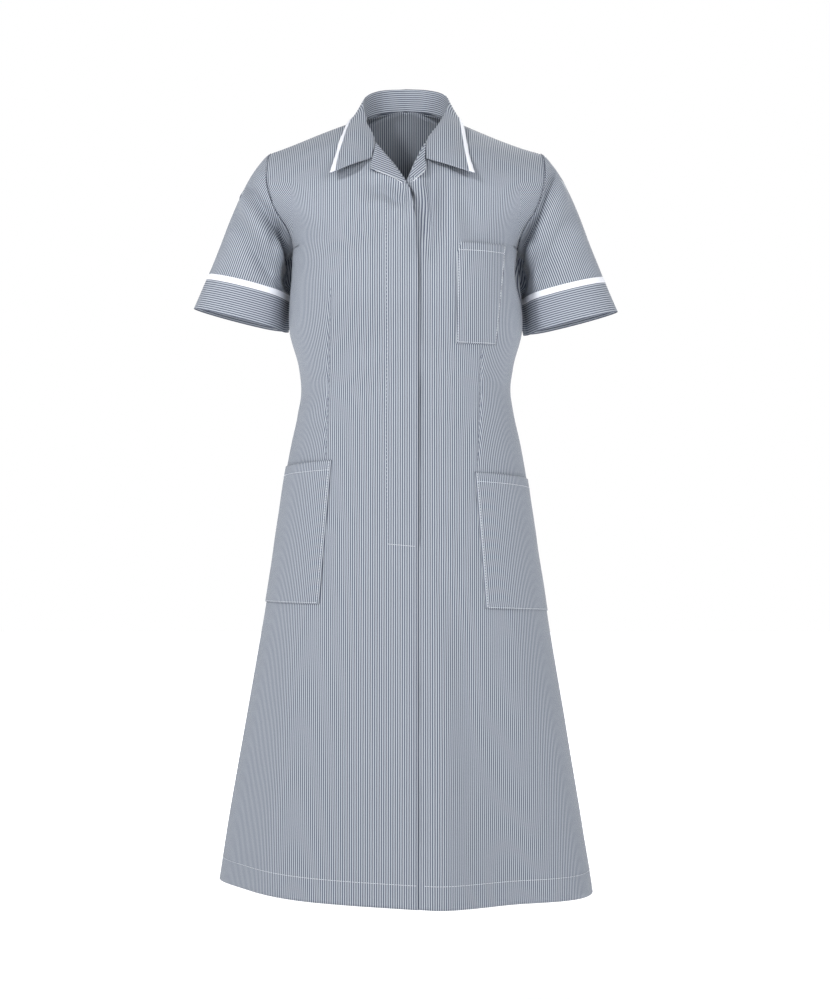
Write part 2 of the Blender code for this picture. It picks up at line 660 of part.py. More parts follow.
STATIONS = 15
FALL_ROWS = 6
STAND_ROWS = 4
marks = [COLLAR_MARKS[-1] * (i / (STATIONS - 1)) for i in range(STATIONS)]
stand_end = max(k for k in range(STATIONS) if marks[k] <= COLLAR_MARKS[ROLL_START] + 1e-6)
marks[stand_end] = COLLAR_MARKS[ROLL_START]
columns = [(-1, k) for k in range(STATIONS - 1, 0, -1)] + [(1, k) for k in range(STATIONS)]
rows = []
for r in range(STAND_ROWS):
    rows.append([lean(collar_stand(s, marks[k], r / STAND_ROWS)) for s, k in columns])
for r in range(FALL_ROWS):
    q = r / (FALL_ROWS - 1)
    row = []
    for s, k in columns:
        rest = (COLLAR_WALL + 0.0011) * max(smooth(0.0, 0.3, q), smooth(stand_end - 0.5, stand_end + 1, k))
        row.append(lifted(lean(collar_fall(s, marks[k], q)), rest))
    rows.append(row)


def collar_keep(r, c):
    if r >= STAND_ROWS:
        return True
    a, b = columns[c], columns[c + 1]
    return a[1] <= stand_end and b[1] <= stand_end


def used_only(points, faces):
    order = sorted({i for face in faces for i in face})
    new = {old: k for k, old in enumerate(order)}
    return [points[i] for i in order], [tuple(new[i] for i in face) for face in faces]


flat_points = [p for row in rows for p in row]
collar_faces = grid_faces(len(rows), len(columns), False, False, collar_keep)
flat_points, collar_faces = used_only(flat_points, collar_faces)
wall("collar", flat_points, collar_faces, COLLAR_WALL, collar_blue, garment)


def collar_out(side, mark, q):
    """Outward normal of the fall."""
    step = 0.002
    dm = collar_fall(side, min(mark + step, COLLAR_MARKS[-1]), q) - collar_fall(side, max(mark - step, 0.0), q)
    dq = collar_fall(side, mark, min(q + 0.02, 1.0)) - collar_fall(side, mark, max(q - 0.02, 0.0))
    n = np.cross(dm, dq) * side
    n = n / np.linalg.norm(n)
    p = collar_fall(side, mark, q)
    return n if n[0] * p[0] + n[1] * p[1] + 0.5 * n[2] * 0.1 > 0 else -n


# White tape on the outer edge of the collar, point to point round the back
tape = [[], []]
for s, k in columns:
    mark = marks[k]
    column = columns.index((s, k))
    edge, within = rows[-1][column], rows[-2][column]
    share = COLLAR_TAPE_WIDTH / np.linalg.norm(within - edge)
    out = collar_out(s, mark, 0.9) * (SEAM_GAP + 0.0004 + TAPE_WALL)
    tape[0].append(edge + (within - edge) * share + out)
    tape[1].append(edge + (within - edge) * 0.03 + out)
tape_points = tape[0] + tape[1]
wall("collar_tape", tape_points, grid_faces(2, len(columns), False, False), TAPE_WALL, white_tape, garment)


# Lapels, turned back from the fold line onto the fronts
def lapel(side, name, fold, edge):
    fold_marks = chord_marks([(x, z) for x, z in fold])
    edge_marks = chord_marks([(x, z) for x, z in edge])
    rows_down = 9
    across = 5
    points = []
    for r in range(rows_down):
        p = r / (rows_down - 1)
        a = spline(fold_marks, fold, p * fold_marks[-1])
        b = spline(edge_marks, edge, p * edge_marks[-1])
        for c in range(across):
            q = c / (across - 1)
            x, z = a + (b - a) * q
            base, u, v = front_at(side, x, z)
            lift = SEAM_GAP + 0.0006 + LAPEL_WALL + LAPEL_LIFT * q * (1.2 - 0.7 * p)
            points.append(base + np.array([0.0, -lift, 0.0]))
    wall(name, points, grid_faces(rows_down, across, False, side > 0), LAPEL_WALL, collar_blue, garment)


lapel(-1, "lapel_right", LAPEL_RIGHT_FOLD, LAPEL_RIGHT_EDGE)
lapel(1, "lapel_left", LAPEL_LEFT_FOLD, LAPEL_LEFT_EDGE)


# Patch pockets, on the outer face of the fronts
def patch(side, name, inner_x, outer_x, top_inner, top_outer, low_inner, low_outer, rows_down, across, lift_top):
    """Pocket from its edges; an outer x of None runs to the side seam."""
    points = []
    for r in range(rows_down):
        q = r / (rows_down - 1)
        for c in range(across):
            p = c / (across - 1)
            top = top_inner + (top_outer - top_inner) * p
            low = low_inner + (low_outer - low_inner) * p
            z = top + (low - top) * q
            x_in = inner_x[0] + (inner_x[1] - inner_x[0]) * q
            _, u_in, v = front_at(side, x_in, z)
            if outer_x is None:
                u_out = 0.985
            else:
                x_out = outer_x[0] + (outer_x[1] - outer_x[0]) * q
                _, u_out, v = front_at(side, x_out, z)
            u = u_in + (u_out - u_in) * p
            base = front_point(side, u, v)
            out = surface_normal(lambda a, b: front_point(side, a, b), u, v)
            bulge = 0.0012 * math.sin(math.pi * p) + lift_top * (1 - q) ** 4
            points.append(base + out * (SEAM_GAP + 0.0008 + POCKET_WALL + bulge * smooth(0.0, 0.35, 1 - q)))
    wall(name, points, grid_faces(rows_down, across, False, side > 0), POCKET_WALL, pocket_blue, garment)


r = HIP_POCKET_RIGHT
patch(-1, "pocket_hip_right", (r[0], r[1]), None, r[2], r[3], r[4], r[5], 11, 12, 0.0015)
r = HIP_POCKET_LEFT
patch(1, "pocket_hip_left", (r[0], r[1]), None, r[2], r[3], r[4], r[5], 11, 12, 0.0015)
patch(1, "pocket_breast", BREAST_POCKET_INNER, BREAST_POCKET_OUTER, BREAST_POCKET_TOP, BREAST_POCKET_TOP,
      BREAST_POCKET_BOTTOM, BREAST_POCKET_BOTTOM, 10, 8, 0.0008)
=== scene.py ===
import math
import bpy
import numpy as np
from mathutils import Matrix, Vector


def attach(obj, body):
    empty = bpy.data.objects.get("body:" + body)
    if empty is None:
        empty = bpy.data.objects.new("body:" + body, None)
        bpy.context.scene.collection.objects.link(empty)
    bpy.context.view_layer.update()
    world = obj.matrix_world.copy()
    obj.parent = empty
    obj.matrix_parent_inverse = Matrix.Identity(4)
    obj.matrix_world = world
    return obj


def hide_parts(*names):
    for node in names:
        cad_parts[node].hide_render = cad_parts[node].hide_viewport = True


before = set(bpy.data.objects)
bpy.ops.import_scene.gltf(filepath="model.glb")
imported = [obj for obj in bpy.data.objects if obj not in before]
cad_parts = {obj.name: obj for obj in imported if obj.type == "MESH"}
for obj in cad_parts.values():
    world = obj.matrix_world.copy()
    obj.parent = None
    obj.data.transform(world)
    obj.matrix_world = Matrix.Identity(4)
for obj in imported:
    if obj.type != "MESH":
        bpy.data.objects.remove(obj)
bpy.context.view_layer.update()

# The camera: 2.6 m in front, level with the middle of the picture
CAMERA_X = 0.0124
CAMERA_DISTANCE = 2.6
CAMERA_Z = -0.502
SCALE = 0.00135
PICTURE_LONG = 1000

# The same sizes as the solids
CLOTH = 0.0012
SEAM_GAP = 0.0003
SHELL = 0.0006
UNDERARM_Z = -0.165
HEM_Z = -1.020
FLY_END_Z = -0.540
FLY_BAR_Z = -0.5585
LAP_EDGE_X = 0.016
UNDERLAP_X = -0.022
SEAM_ALLOWANCE = 0.012

BODY = (
    (-1.020, 0.2512, 0.160, 0.166),
    (-0.920, 0.2360, 0.151, 0.159),
    (-0.830, 0.2205, 0.143, 0.150),
    (-0.740, 0.2050, 0.135, 0.144),
    (-0.640, 0.1880, 0.127, 0.137),
    (-0.545, 0.1735, 0.120, 0.131),
    (-0.460, 0.1605, 0.112, 0.122),
    (-0.420, 0.1530, 0.105, 0.110),
    (-0.390, 0.1462, 0.099, 0.097),
    (-0.355, 0.1412, 0.095, 0.088),
    (-0.325, 0.1440, 0.099, 0.086),
    (-0.274, 0.1570, 0.113, 0.091),
    (-0.235, 0.1568, 0.124, 0.096),
    (-0.200, 0.1535, 0.125, 0.099),
    (-0.165, 0.1500, 0.119, 0.101),
)
FRONT_FULLNESS = 0.60
SIDE_FULLNESS = 0.56
UNDERARM_FULLNESS = 0.75
HEM_EASE = 0.09
HEM_TILT = 0.033
SHOULDER_RISE_RIGHT = 0.0026
SHOULDER_RISE_LEFT = -0.0012
BUST_X = 0.080
BUST_Z = -0.228
BUST_SPREAD = 0.055
BUST_RISE = 0.007

ARMHOLE = (
    (0.1840, 0.005, -0.0350),
    (0.1860, -0.035, -0.0580),
    (0.1840, -0.052, -0.0850),
    (0.1710, -0.055, -0.1220),
    (0.1590, -0.045, -0.1400),
    (0.1500, 0.000, -0.1650),
    (0.1580, 0.045, -0.1400),
    (0.1720, 0.056, -0.0970),
    (0.1800, 0.045, -0.0620),
)
ARMHOLE_UNDERARM = 5
FRONT_INNER = (
    (0.00, -0.0150, -0.0220, -0.1190, -0.1650),
    (0.27, -0.0125, -0.0220, -0.1130, -0.1350),
    (0.39, -0.0098, -0.0215, -0.1085, -0.1180),
    (0.50, -0.0067, -0.0120, -0.1040, -0.1005),
    (0.58, 0.0000, 0.0005, -0.1000, -0.0870),
    (0.72, 0.0188, 0.0135, -0.0790, -0.0570),
    (0.86, 0.0410, 0.0274, -0.0560, -0.0280),
    (0.93, 0.0510, 0.0440, -0.0290, -0.0070),
    (1.00, 0.0580, 0.0580, 0.0000, 0.0120),
)
FRONT_REACH = (
    (0.00, 0.090, 0.000, 0.000, 0.000, -0.089, 0.000),
    (0.27, 0.080, -0.006, 0.000, -0.013, -0.046, 0.000),
    (0.39, 0.070, -0.010, 0.000, -0.024, -0.038, 0.000),
    (0.50, 0.062, -0.014, 0.000, -0.030, -0.036, 0.002),
    (0.58, 0.060, -0.014, 0.001, -0.034, -0.034, 0.003),
    (0.72, 0.055, -0.013, 0.003, -0.038, -0.027, 0.004),
    (0.86, 0.048, -0.007, 0.002, -0.044, -0.017, 0.006),
    (0.93, 0.044, -0.003, -0.008, -0.044, -0.009, 0.009),
    (1.00, 0.040, 0.001, -0.015, -0.043, 0.000, 0.013),
)
BACK_INNER = (
    (0.00, 0.0000, 0.1010, -0.1650, 0.084, 0.000, 0.000, 0.000, 0.076, 0.000),
    (0.28, 0.0000, 0.1040, -0.1180, 0.074, 0.002, -0.006, -0.012, 0.040, 0.000),
    (0.53, 0.0000, 0.1020, -0.0550, 0.062, 0.003, -0.008, -0.030, 0.026, 0.002),
    (0.70, 0.0000, 0.0900, 0.0000, 0.056, 0.002, -0.010, -0.038, 0.018, 0.006),
    (0.80, 0.0000, 0.0700, 0.0340, 0.052, 0.002, -0.016, -0.042, 0.012, 0.010),
    (0.88, 0.0280, 0.0610, 0.0300, 0.044, 0.000, -0.020, -0.043, 0.007, 0.012),
    (0.94, 0.0480, 0.0350, 0.0200, 0.041, 0.001, -0.017, -0.043, 0.003, 0.013),
    (1.00, 0.0580, 0.0000, 0.0120, 0.040, 0.001, -0.015, -0.043, 0.000, 0.013),
)
BACK_NECK_SHARE = 0.80
FRONT_FOLDS = (
    (-0.72, -0.66, -0.58, -0.0060, 0.16),
    (-0.38, -0.34, -0.60, 0.0050, 0.15),
    (0.11, 0.07, -0.52, 0.0100, 0.12),
    (0.43, 0.36, -0.54, -0.0130, 0.16),
    (0.76, 0.68, -0.60, 0.0040, 0.13),
)
BACK_FOLDS = (
    (0.36, 0.30, -0.52, 0.0070, 0.13),
    (0.62, 0.54, -0.56, -0.0070, 0.15),
    (0.85, 0.79, -0.56, 0.0040, 0.13),
)
SLEEVE_RING_CENTRE = (0.2260, 0.000, -0.2595)
SLEEVE_DROP_LEFT = 0.0042
SLEEVE_RING_OUT = (0.0598, 0.000, 0.0152)
SLEEVE_RING_DEPTH = 0.046
CUFF_DEPTH = 0.043
BAND_WIDTH = 0.007
SLEEVE_RUN = (
    (0.000, 0.74, 0.00, -0.67, 0.41, 0.00, -0.91),
    (0.125, 0.70, -0.22, -0.68, 0.37, 0.01, -0.93),
    (0.250, 0.42, -0.16, -0.89, 0.29, 0.02, -0.96),
    (0.375, 0.42, 0.10, -0.90, 0.23, 0.02, -0.97),
    (0.500, 0.46, 0.00, -0.89, 0.18, 0.00, -0.98),
    (0.625, 0.42, -0.10, -0.90, 0.23, -0.02, -0.97),
    (0.750, 0.42, 0.16, -0.89, 0.29, -0.02, -0.96),
    (0.875, 0.70, 0.22, -0.68, 0.37, -0.01, -0.93),
    (1.000, 0.74, 0.00, -0.67, 0.41, 0.00, -0.91),
)
COLLAR = (
    ((0.0000, 0.0698, 0.0364), (0.0000, 0.0755, 0.0705), (0.0000, 0.1080, 0.0260)),
    ((0.0280, 0.0610, 0.0324), (0.0300, 0.0670, 0.0670), (0.0400, 0.0985, 0.0220)),
    ((0.0480, 0.0350, 0.0218), (0.0490, 0.0430, 0.0570), (0.0655, 0.0580, 0.0145)),
    ((0.0580, 0.0000, 0.0130), (0.0575, 0.0080, 0.0370), (0.0750, -0.0040, 0.0085)),
    ((0.0540, -0.0150, 0.0042), (0.0520, -0.0170, 0.0150), (0.0800, -0.0330, -0.0100)),
    ((0.0460, -0.0330, -0.0085), (0.0450, -0.0400, -0.0050), (0.0850, -0.0680, -0.0410)),
    ((0.0342, -0.0560, -0.0268), (0.0350, -0.0580, -0.0240), (0.0890, -0.0900, -0.0610)),
    (None, (0.0350, -0.0820, -0.0550), (0.0930, -0.1060, -0.0785)),
)
COLLAR_TAPE_WIDTH = 0.007
COLLAR_SPRING = 0.007
COLLAR_FRONT_LEAN = 0.105
COLLAR_FRONT_LEAN_MOST = 0.009
COLLAR_REST = 0.0024
LAPEL_RIGHT_FOLD = ((0.0390, -0.0300), (0.0205, -0.0560), (0.0015, -0.0860))
LAPEL_RIGHT_EDGE = ((0.0430, -0.0565), (0.0446, -0.0715), (0.0318, -0.0770), (0.0117, -0.0860), (-0.0045, -0.0990))
LAPEL_LEFT_FOLD = ((0.0266, -0.0300), (0.0150, -0.0560), (0.0045, -0.0790))
LAPEL_LEFT_EDGE = ((0.0243, -0.0560), (0.0254, -0.0735), (0.0200, -0.0800), (0.0130, -0.0860), (0.0075, -0.0905))
LAPEL_LIFT = 0.0030
HIP_POCKET_RIGHT = (0.0960, 0.1115, -0.4500, -0.4590, -0.6370, -0.6385)
HIP_POCKET_LEFT = (0.0895, 0.1030, -0.4655, -0.4760, -0.6425, -0.6510)
BREAST_POCKET_INNER = (0.0665, 0.0655)
BREAST_POCKET_OUTER = (0.1300, 0.1180)
BREAST_POCKET_TOP = -0.1690
BREAST_POCKET_BOTTOM = -0.2980

# Cloth
STRIPE_REPEAT = 0.00296
NAVY = (0.090, 0.104, 0.150)
PALE = (0.450, 0.490, 0.541)
TAPE_WHITE = (0.84, 0.86, 0.92)


def spline(marks, values, at, closed=False):
    marks = np.asarray(marks, float)
    values = np.asarray(values, float)
    if values.ndim == 1:
        values = values[:, None]
    count = len(marks)
    place = min(max(at, marks[0]), marks[-1])
    i = int(min(np.searchsorted(marks, place, side="right") - 1, count - 2))

    def slope(k):
        if 0 < k < count - 1:
            before = (values[k] - values[k - 1]) / (marks[k] - marks[k - 1])
            after = (values[k + 1] - values[k]) / (marks[k + 1] - marks[k])
            wide = marks[k + 1] - marks[k - 1]
            return (before * (marks[k + 1] - marks[k]) + after * (marks[k] - marks[k - 1])) / wide
        first = (values[1] - values[0]) / (marks[1] - marks[0])
        last = (values[-1] - values[-2]) / (marks[-1] - marks[-2])
        if closed:
            return (first + last) / 2
        return first if k == 0 else last

    width = marks[i + 1] - marks[i]
    q = (place - marks[i]) / width
    a = (1 + 2 * q) * (1 - q) ** 2
    b = q * (1 - q) ** 2
    c = q * q * (3 - 2 * q)
    d = q * q * (q - 1)
    return a * values[i] + b * width * slope(i) + c * values[i + 1] + d * width * slope(i + 1)


def chord_marks(points):
    points = np.asarray(points, float)
    steps = np.linalg.norm(np.diff(points, axis=0), axis=1)
    return np.concatenate([[0.0], np.cumsum(steps)])


def smooth(edge0, edge1, x):
    q = min(max((x - edge0) / (edge1 - edge0), 0.0), 1.0)
    return q * q * (3 - 2 * q)


def smooth_all(edge0, edge1, x):
    q = np.clip((x - edge0) / (edge1 - edge0), 0.0, 1.0)
    return q * q * (3 - 2 * q)


def bezier(a, b, c, d, t):
    s = 1 - t
    return s * s * s * a + 3 * s * s * t * b + 3 * s * t * t * c + t * t * t * d


ARMHOLE_CLOSED = ARMHOLE + (ARMHOLE[0],)
ARMHOLE_MARKS = chord_marks(ARMHOLE_CLOSED)
UNDERARM_MARK = ARMHOLE_MARKS[ARMHOLE_UNDERARM]
ARMHOLE_LENGTH = ARMHOLE_MARKS[-1]
BODY_MARKS = np.array([row[0] for row in BODY])
BODY_SIZES = np.array([row[1:] for row in BODY])
FRONT_SHARES = np.array([row[0] for row in FRONT_INNER])
FRONT_INNER_VALUES = np.array([row[1:] for row in FRONT_INNER])
FRONT_REACH_VALUES = np.array([row[1:] for row in FRONT_REACH])
BACK_SHARES = np.array([row[0] for row in BACK_INNER])
BACK_VALUES = np.array([row[1:] for row in BACK_INNER])


def armhole(mark):
    return spline(ARMHOLE_MARKS, ARMHOLE_CLOSED, mark % ARMHOLE_LENGTH if mark < ARMHOLE_LENGTH else ARMHOLE_LENGTH, True)


def side_fullness(z):
    squarer = (UNDERARM_FULLNESS - SIDE_FULLNESS) * smooth(-0.31, UNDERARM_Z, z)
    return SIDE_FULLNESS + squarer - HEM_EASE * smooth(-0.60, HEM_Z, z)


def lap_edge(z):
    return LAP_EDGE_X - 0.001 * smooth(-0.19, -0.165, z)


def lap_world_x(z):
    if z < UNDERARM_Z:
        return lap_edge(z)
    top = FRONT_INNER[:5]
    return float(np.interp(z, [row[4] for row in top], [-row[1] for row in top]))


def under_edge(z):
    closed = smooth(FLY_END_Z + 0.010, FLY_END_Z - 0.010, z)
    return UNDERLAP_X + (LAP_EDGE_X - SEAM_ALLOWANCE - UNDERLAP_X) * closed


def fold_push(folds, u, z):
    push = 0.0
    for hem_u, head_u, head_z, depth, half in folds:
        run = (head_z - z) / (head_z - HEM_Z)
        if run <= 0:
            continue
        centre = head_u + (hem_u - head_u) * run
        spread = half * (0.55 + 0.45 * run)
        push += depth * run ** 1.3 * math.exp(-((u - centre) / spread) ** 2)
    return push * smooth(0.0, 0.06, 1.0 - abs(u))


def settled(side, u, v, p):
    x = p[0] * side
    rise = SHOULDER_RISE_RIGHT if side < 0 else SHOULDER_RISE_LEFT
    z = p[2] + rise * math.sin(math.pi * min(max(u, 0.0), 1.0)) * smooth(0.6, 1.0, v)
    return np.array([x, p[1], z - HEM_TILT * x * smooth(-0.60, HEM_Z, p[2])])


ROWS_KNOWN = {}


def front_row(side, v):
    key = (side, round(v, 7))
    if key in ROWS_KNOWN:
        return ROWS_KNOWN[key]
    if v <= 0:
        z = UNDERARM_Z + v * (UNDERARM_Z - HEM_Z)
        a, f, _ = spline(BODY_MARKS, BODY_SIZES, z)
        start = -lap_edge(z) if side < 0 else under_edge(z)
        inner = np.array([0.0, -f, z])
        outer = np.array([a, 0.0, z])
        reach_in = np.array([(FRONT_FULLNESS - HEM_EASE * smooth(-0.60, HEM_Z, z)) * a, 0.0, 0.0])
        reach_out = np.array([0.0, -side_fullness(z) * f, 0.0])
        row = (inner, inner + reach_in, outer + reach_out, outer)
    else:
        xr, xl, y, z = spline(FRONT_SHARES, FRONT_INNER_VALUES, v)
        reach = spline(FRONT_SHARES, FRONT_REACH_VALUES, v)
        start = xr if side < 0 else xl
        inner = np.array([max(start, 0.0), y, z])
        outer = armhole(UNDERARM_MARK * (1 - v))
        row = (inner, inner + reach[:3], outer + reach[3:], outer)
    begin = 0.0
    if start < 0:
        pull = row[1][0]
        begin = start / (3 * pull)
        for _ in range(2):
            begin += (start + bezier(*row, -begin)[0]) / (3 * pull)
    ROWS_KNOWN[key] = (row, start, begin)
    return ROWS_KNOWN[key]


def front_point(side, u, v):
    row, start, begin = front_row(side, v)
    w = begin + (1 - begin) * u
    p = bezier(*row, abs(w))
    if w < 0 and start < 0:
        p[0] = -p[0]
    elif w < 0:
        p = row[0] + (row[1] - row[0]) * 3 * w
    z = p[2]
    if v < 0:
        push = fold_push(FRONT_FOLDS, w * side, z)
        flat = np.array([p[0], p[1] * 1.6, 0.0])
        p = p + push * flat / np.linalg.norm(flat)
    bust = math.exp(-((p[0] - BUST_X) / BUST_SPREAD) ** 2 - ((z - BUST_Z) / BUST_SPREAD) ** 2)
    p[1] -= BUST_RISE * bust * smooth(0.0, 0.05, abs(p[0]))
    if side > 0:
        edge = lap_world_x(z)
        under = 1 - smooth(0.0060, 0.0220, p[0] - edge)
        under *= 1 - smooth(-0.088, -0.070, z)
        dip = CLOTH + SEAM_GAP + 0.0005 + 0.0014 * smooth(-0.20, -0.12, z)
        p = p + np.array([0.0, dip * under, 0.0])
    return settled(side, u, v, p)


def back_row(v):
    key = (0, round(v, 7))
    if key in ROWS_KNOWN:
        return ROWS_KNOWN[key]
    if v <= 0:
        z = UNDERARM_Z + v * (UNDERARM_Z - HEM_Z)
        a, _, b = spline(BODY_MARKS, BODY_SIZES, z)
        inner = np.array([0.0, b, z])
        outer = np.array([a, 0.0, z])
        full = side_fullness(z)
        row = (inner, inner + np.array([SIDE_FULLNESS * a, 0, 0]), outer + np.array([0, full * b, 0]), outer)
    else:
        r = spline(BACK_SHARES, BACK_VALUES, v)
        inner = np.array(r[0:3])
        if v <= BACK_NECK_SHARE:
            inner[0] = 0.0
        outer = armhole(UNDERARM_MARK + (ARMHOLE_LENGTH - UNDERARM_MARK) * v)
        row = (inner, inner + r[3:6], outer + r[6:9], outer)
    ROWS_KNOWN[key] = row
    return row


def back_point(side, u, v):
    p = bezier(*back_row(v), u)
    if v < 0:
        push = fold_push(BACK_FOLDS, u, p[2]) * (1.0 if side > 0 else 0.7)
        flat = np.array([p[0], p[1] * 1.6, 0.0])
        p = p + push * flat / np.linalg.norm(flat)
    return settled(side, u, v, p)


def front_at(side, x, z, guess=(0.4, 0.5)):
    u, v = guess
    if guess == (0.4, 0.5) and z < UNDERARM_Z:
        v = (z - UNDERARM_Z) / (UNDERARM_Z - HEM_Z)
    for _ in range(30):
        p = front_point(side, u, v)
        miss = np.array([x - p[0] * side, z - p[2]])
        if np.abs(miss).max() < 1e-6:
            break
        step = 1e-4
        pu = (front_point(side, u + step, v) - p) / step
        pv = (front_point(side, u, v + step) - p) / step
        matrix = np.array([[pu[0] * side, pv[0] * side], [pu[2], pv[2]]])
        change = np.linalg.solve(matrix, miss)
        u = min(max(u + max(min(change[0], 0.2), -0.2), -0.15), 1.0)
        v = min(max(v + max(min(change[1], 0.2), -0.2), -1.0), 1.0)
    return p, u, v


def surface_normal(point, u, v, step=0.004):
    du = point(min(u + step, 1.0), v) - point(max(u - step, 0.0), v)
    dv = point(u, v + step) - point(u, v - step)
    n = np.cross(du, dv)
    n = n / np.linalg.norm(n)
    p = point(u, v)
    return n if n[0] * p[0] + n[1] * p[1] >= 0 else -n


# Creases given one by one: start x, z and end x, z in the front or back view, half width, depth (- is a trough), bow to
# one side
FRONT_CREASES = (
    # soft drags from under the lapel end across the right chest
    (-0.006, -0.112, -0.044, -0.095, 0.0105, -0.0100, -0.002),
    (-0.010, -0.124, -0.066, -0.150, 0.013, -0.0034, 0.010),
    (-0.018, -0.146, -0.082, -0.190, 0.015, 0.0018, 0.008),
    (-0.024, -0.168, -0.100, -0.222, 0.016, -0.0015, 0.010),
    (-0.050, -0.105, -0.110, -0.150, 0.020, -0.0010, -0.006),
    # hollow beside the lap on the left chest
    (0.034, -0.082, 0.030, -0.168, 0.0150, -0.0150, 0.002),
    (0.058, -0.085, 0.047, -0.190, 0.014, 0.0018, 0.004),
    (0.050, -0.100, 0.092, -0.168, 0.013, -0.0016, 0.006),
    # drags from the armholes
    (-0.172, -0.115, -0.118, -0.155, 0.012, -0.0016, -0.006),
    (-0.160, -0.145, -0.105, -0.205, 0.016, 0.0014, -0.008),
    (0.172, -0.118, 0.126, -0.150, 0.012, -0.0014, 0.006),
    (0.160, -0.150, 0.130, -0.190, 0.012, 0.0010, 0.006),
    # slack at the waist beside the lap
    (-0.006, -0.270, -0.060, -0.305, 0.012, -0.0011, 0.004),
    (-0.004, -0.318, -0.078, -0.334, 0.011, 0.0010, -0.004),
    (-0.010, -0.352, -0.090, -0.357, 0.010, -0.0013, 0.003),
    (-0.012, -0.388, -0.070, -0.404, 0.012, 0.0010, 0.004),
    (0.024, -0.300, 0.066, -0.318, 0.011, -0.0011, -0.003),
    (0.026, -0.345, 0.082, -0.350, 0.010, 0.0011, 0.003),
    (0.028, -0.376, 0.074, -0.392, 0.011, -0.0012, -0.004),
    (0.096, -0.340, 0.136, -0.352, 0.010, -0.0012, 0.003),
    (-0.100, -0.342, -0.138, -0.356, 0.010, -0.0013, -0.003),
    (-0.104, -0.372, -0.142, -0.384, 0.011, 0.0010, 0.003),
    # below the fly and down the skirt
    (0.026, -0.548, 0.060, -0.700, 0.016, -0.0014, 0.006),
    (0.040, -0.640, 0.052, -0.960, 0.018, 0.0022, 0.008),
    (0.078, -0.690, 0.098, -1.000, 0.022, -0.0022, -0.006),
    (0.018, -0.700, 0.020, -1.000, 0.007, -0.0012, 0.000),
    (-0.050, -0.580, -0.064, -0.860, 0.020, 0.0012, -0.006),
    (-0.098, -0.690, -0.124, -0.980, 0.022, -0.0016, 0.006),
    (-0.150, -0.700, -0.186, -1.000, 0.018, 0.0014, 0.006),
    (0.140, -0.700, 0.168, -0.990, 0.020, 0.0012, -0.008),
    (-0.040, -0.500, -0.105, -0.560, 0.018, 0.0009, 0.008),
    (0.050, -0.505, 0.085, -0.560, 0.014, -0.0008, -0.004),
)
BACK_CREASES = (
    (-0.020, -0.060, -0.130, -0.110, 0.020, -0.0014, 0.010),
    (0.030, -0.070, 0.125, -0.104, 0.018, -0.0012, -0.010),
    (-0.155, -0.120, -0.080, -0.190, 0.016, -0.0018, -0.008),
    (0.155, -0.124, 0.070, -0.184, 0.017, -0.0018, 0.008),
    (-0.140, -0.160, -0.070, -0.250, 0.018, 0.0014, -0.008),
    (0.140, -0.165, 0.064, -0.240, 0.017, 0.0014, 0.008),
    (-0.118, -0.300, -0.020, -0.322, 0.013, -0.0022, 0.005),
    (0.010, -0.330, 0.120, -0.318, 0.012, 0.0018, -0.006),
    (-0.100, -0.345, 0.018, -0.356, 0.012, -0.0024, 0.004),
    (0.030, -0.368, 0.118, -0.352, 0.012, -0.0020, 0.005),
    (-0.112, -0.390, -0.010, -0.398, 0.013, 0.0016, -0.005),
    (0.004, -0.402, 0.092, -0.412, 0.014, -0.0014, 0.004),
    (-0.050, -0.560, -0.076, -0.980, 0.024, 0.0026, 0.012),
    (0.030, -0.600, 0.040, -1.000, 0.022, -0.0024, -0.008),
    (0.120, -0.600, 0.158, -0.990, 0.022, 0.0020, 0.010),
    (-0.130, -0.640, -0.170, -1.000, 0.022, -0.0020, -0.008),
)
# On the sleeves, softer creases in the same columns
SLEEVE_CREASES = (
    (0.2160, -0.0960, 0.1700, -0.1780, 0.009, 0.0022, 0.005),
    (0.2360, -0.1080, 0.1760, -0.2000, 0.009, -0.0022, 0.006),
    (0.2440, -0.1420, 0.1900, -0.2120, 0.010, 0.0012, 0.005),
    (0.2520, -0.1500, 0.2660, -0.2050, 0.010, -0.0010, 0.003),
    (0.2020, -0.1700, 0.1880, -0.2160, 0.009, -0.0014, -0.002),
)
# Drags that deepen toward the underarm: start x, z, end x, z, half width and depth at the start, then at the end, bow
SLEEVE_DRAGS = {
    -1: (
        (0.2180, -0.0660, 0.1600, -0.1480, 0.0060, -0.0060, 0.0090, -0.0150, 0.006),
        (0.2230, -0.0800, 0.1700, -0.1700, 0.0070, 0.0036, 0.0080, 0.0060, 0.005),
        (0.2340, -0.0980, 0.1800, -0.1960, 0.0080, -0.0034, 0.0080, -0.0060, 0.006),
        (0.1760, -0.1600, 0.1660, -0.2280, 0.0060, -0.0040, 0.0050, -0.0016, 0.000),
    ),
    1: (
        (0.2060, -0.0500, 0.1540, -0.1480, 0.0060, -0.0080, 0.0095, -0.0170, 0.004),
        (0.2120, -0.0700, 0.1660, -0.1660, 0.0070, 0.0036, 0.0080, 0.0060, 0.004),
        (0.2260, -0.0900, 0.1740, -0.1960, 0.0080, -0.0028, 0.0080, -0.0050, 0.005),
        (0.1700, -0.1600, 0.1620, -0.2280, 0.0060, -0.0050, 0.0050, -0.0020, 0.000),
    ),
}


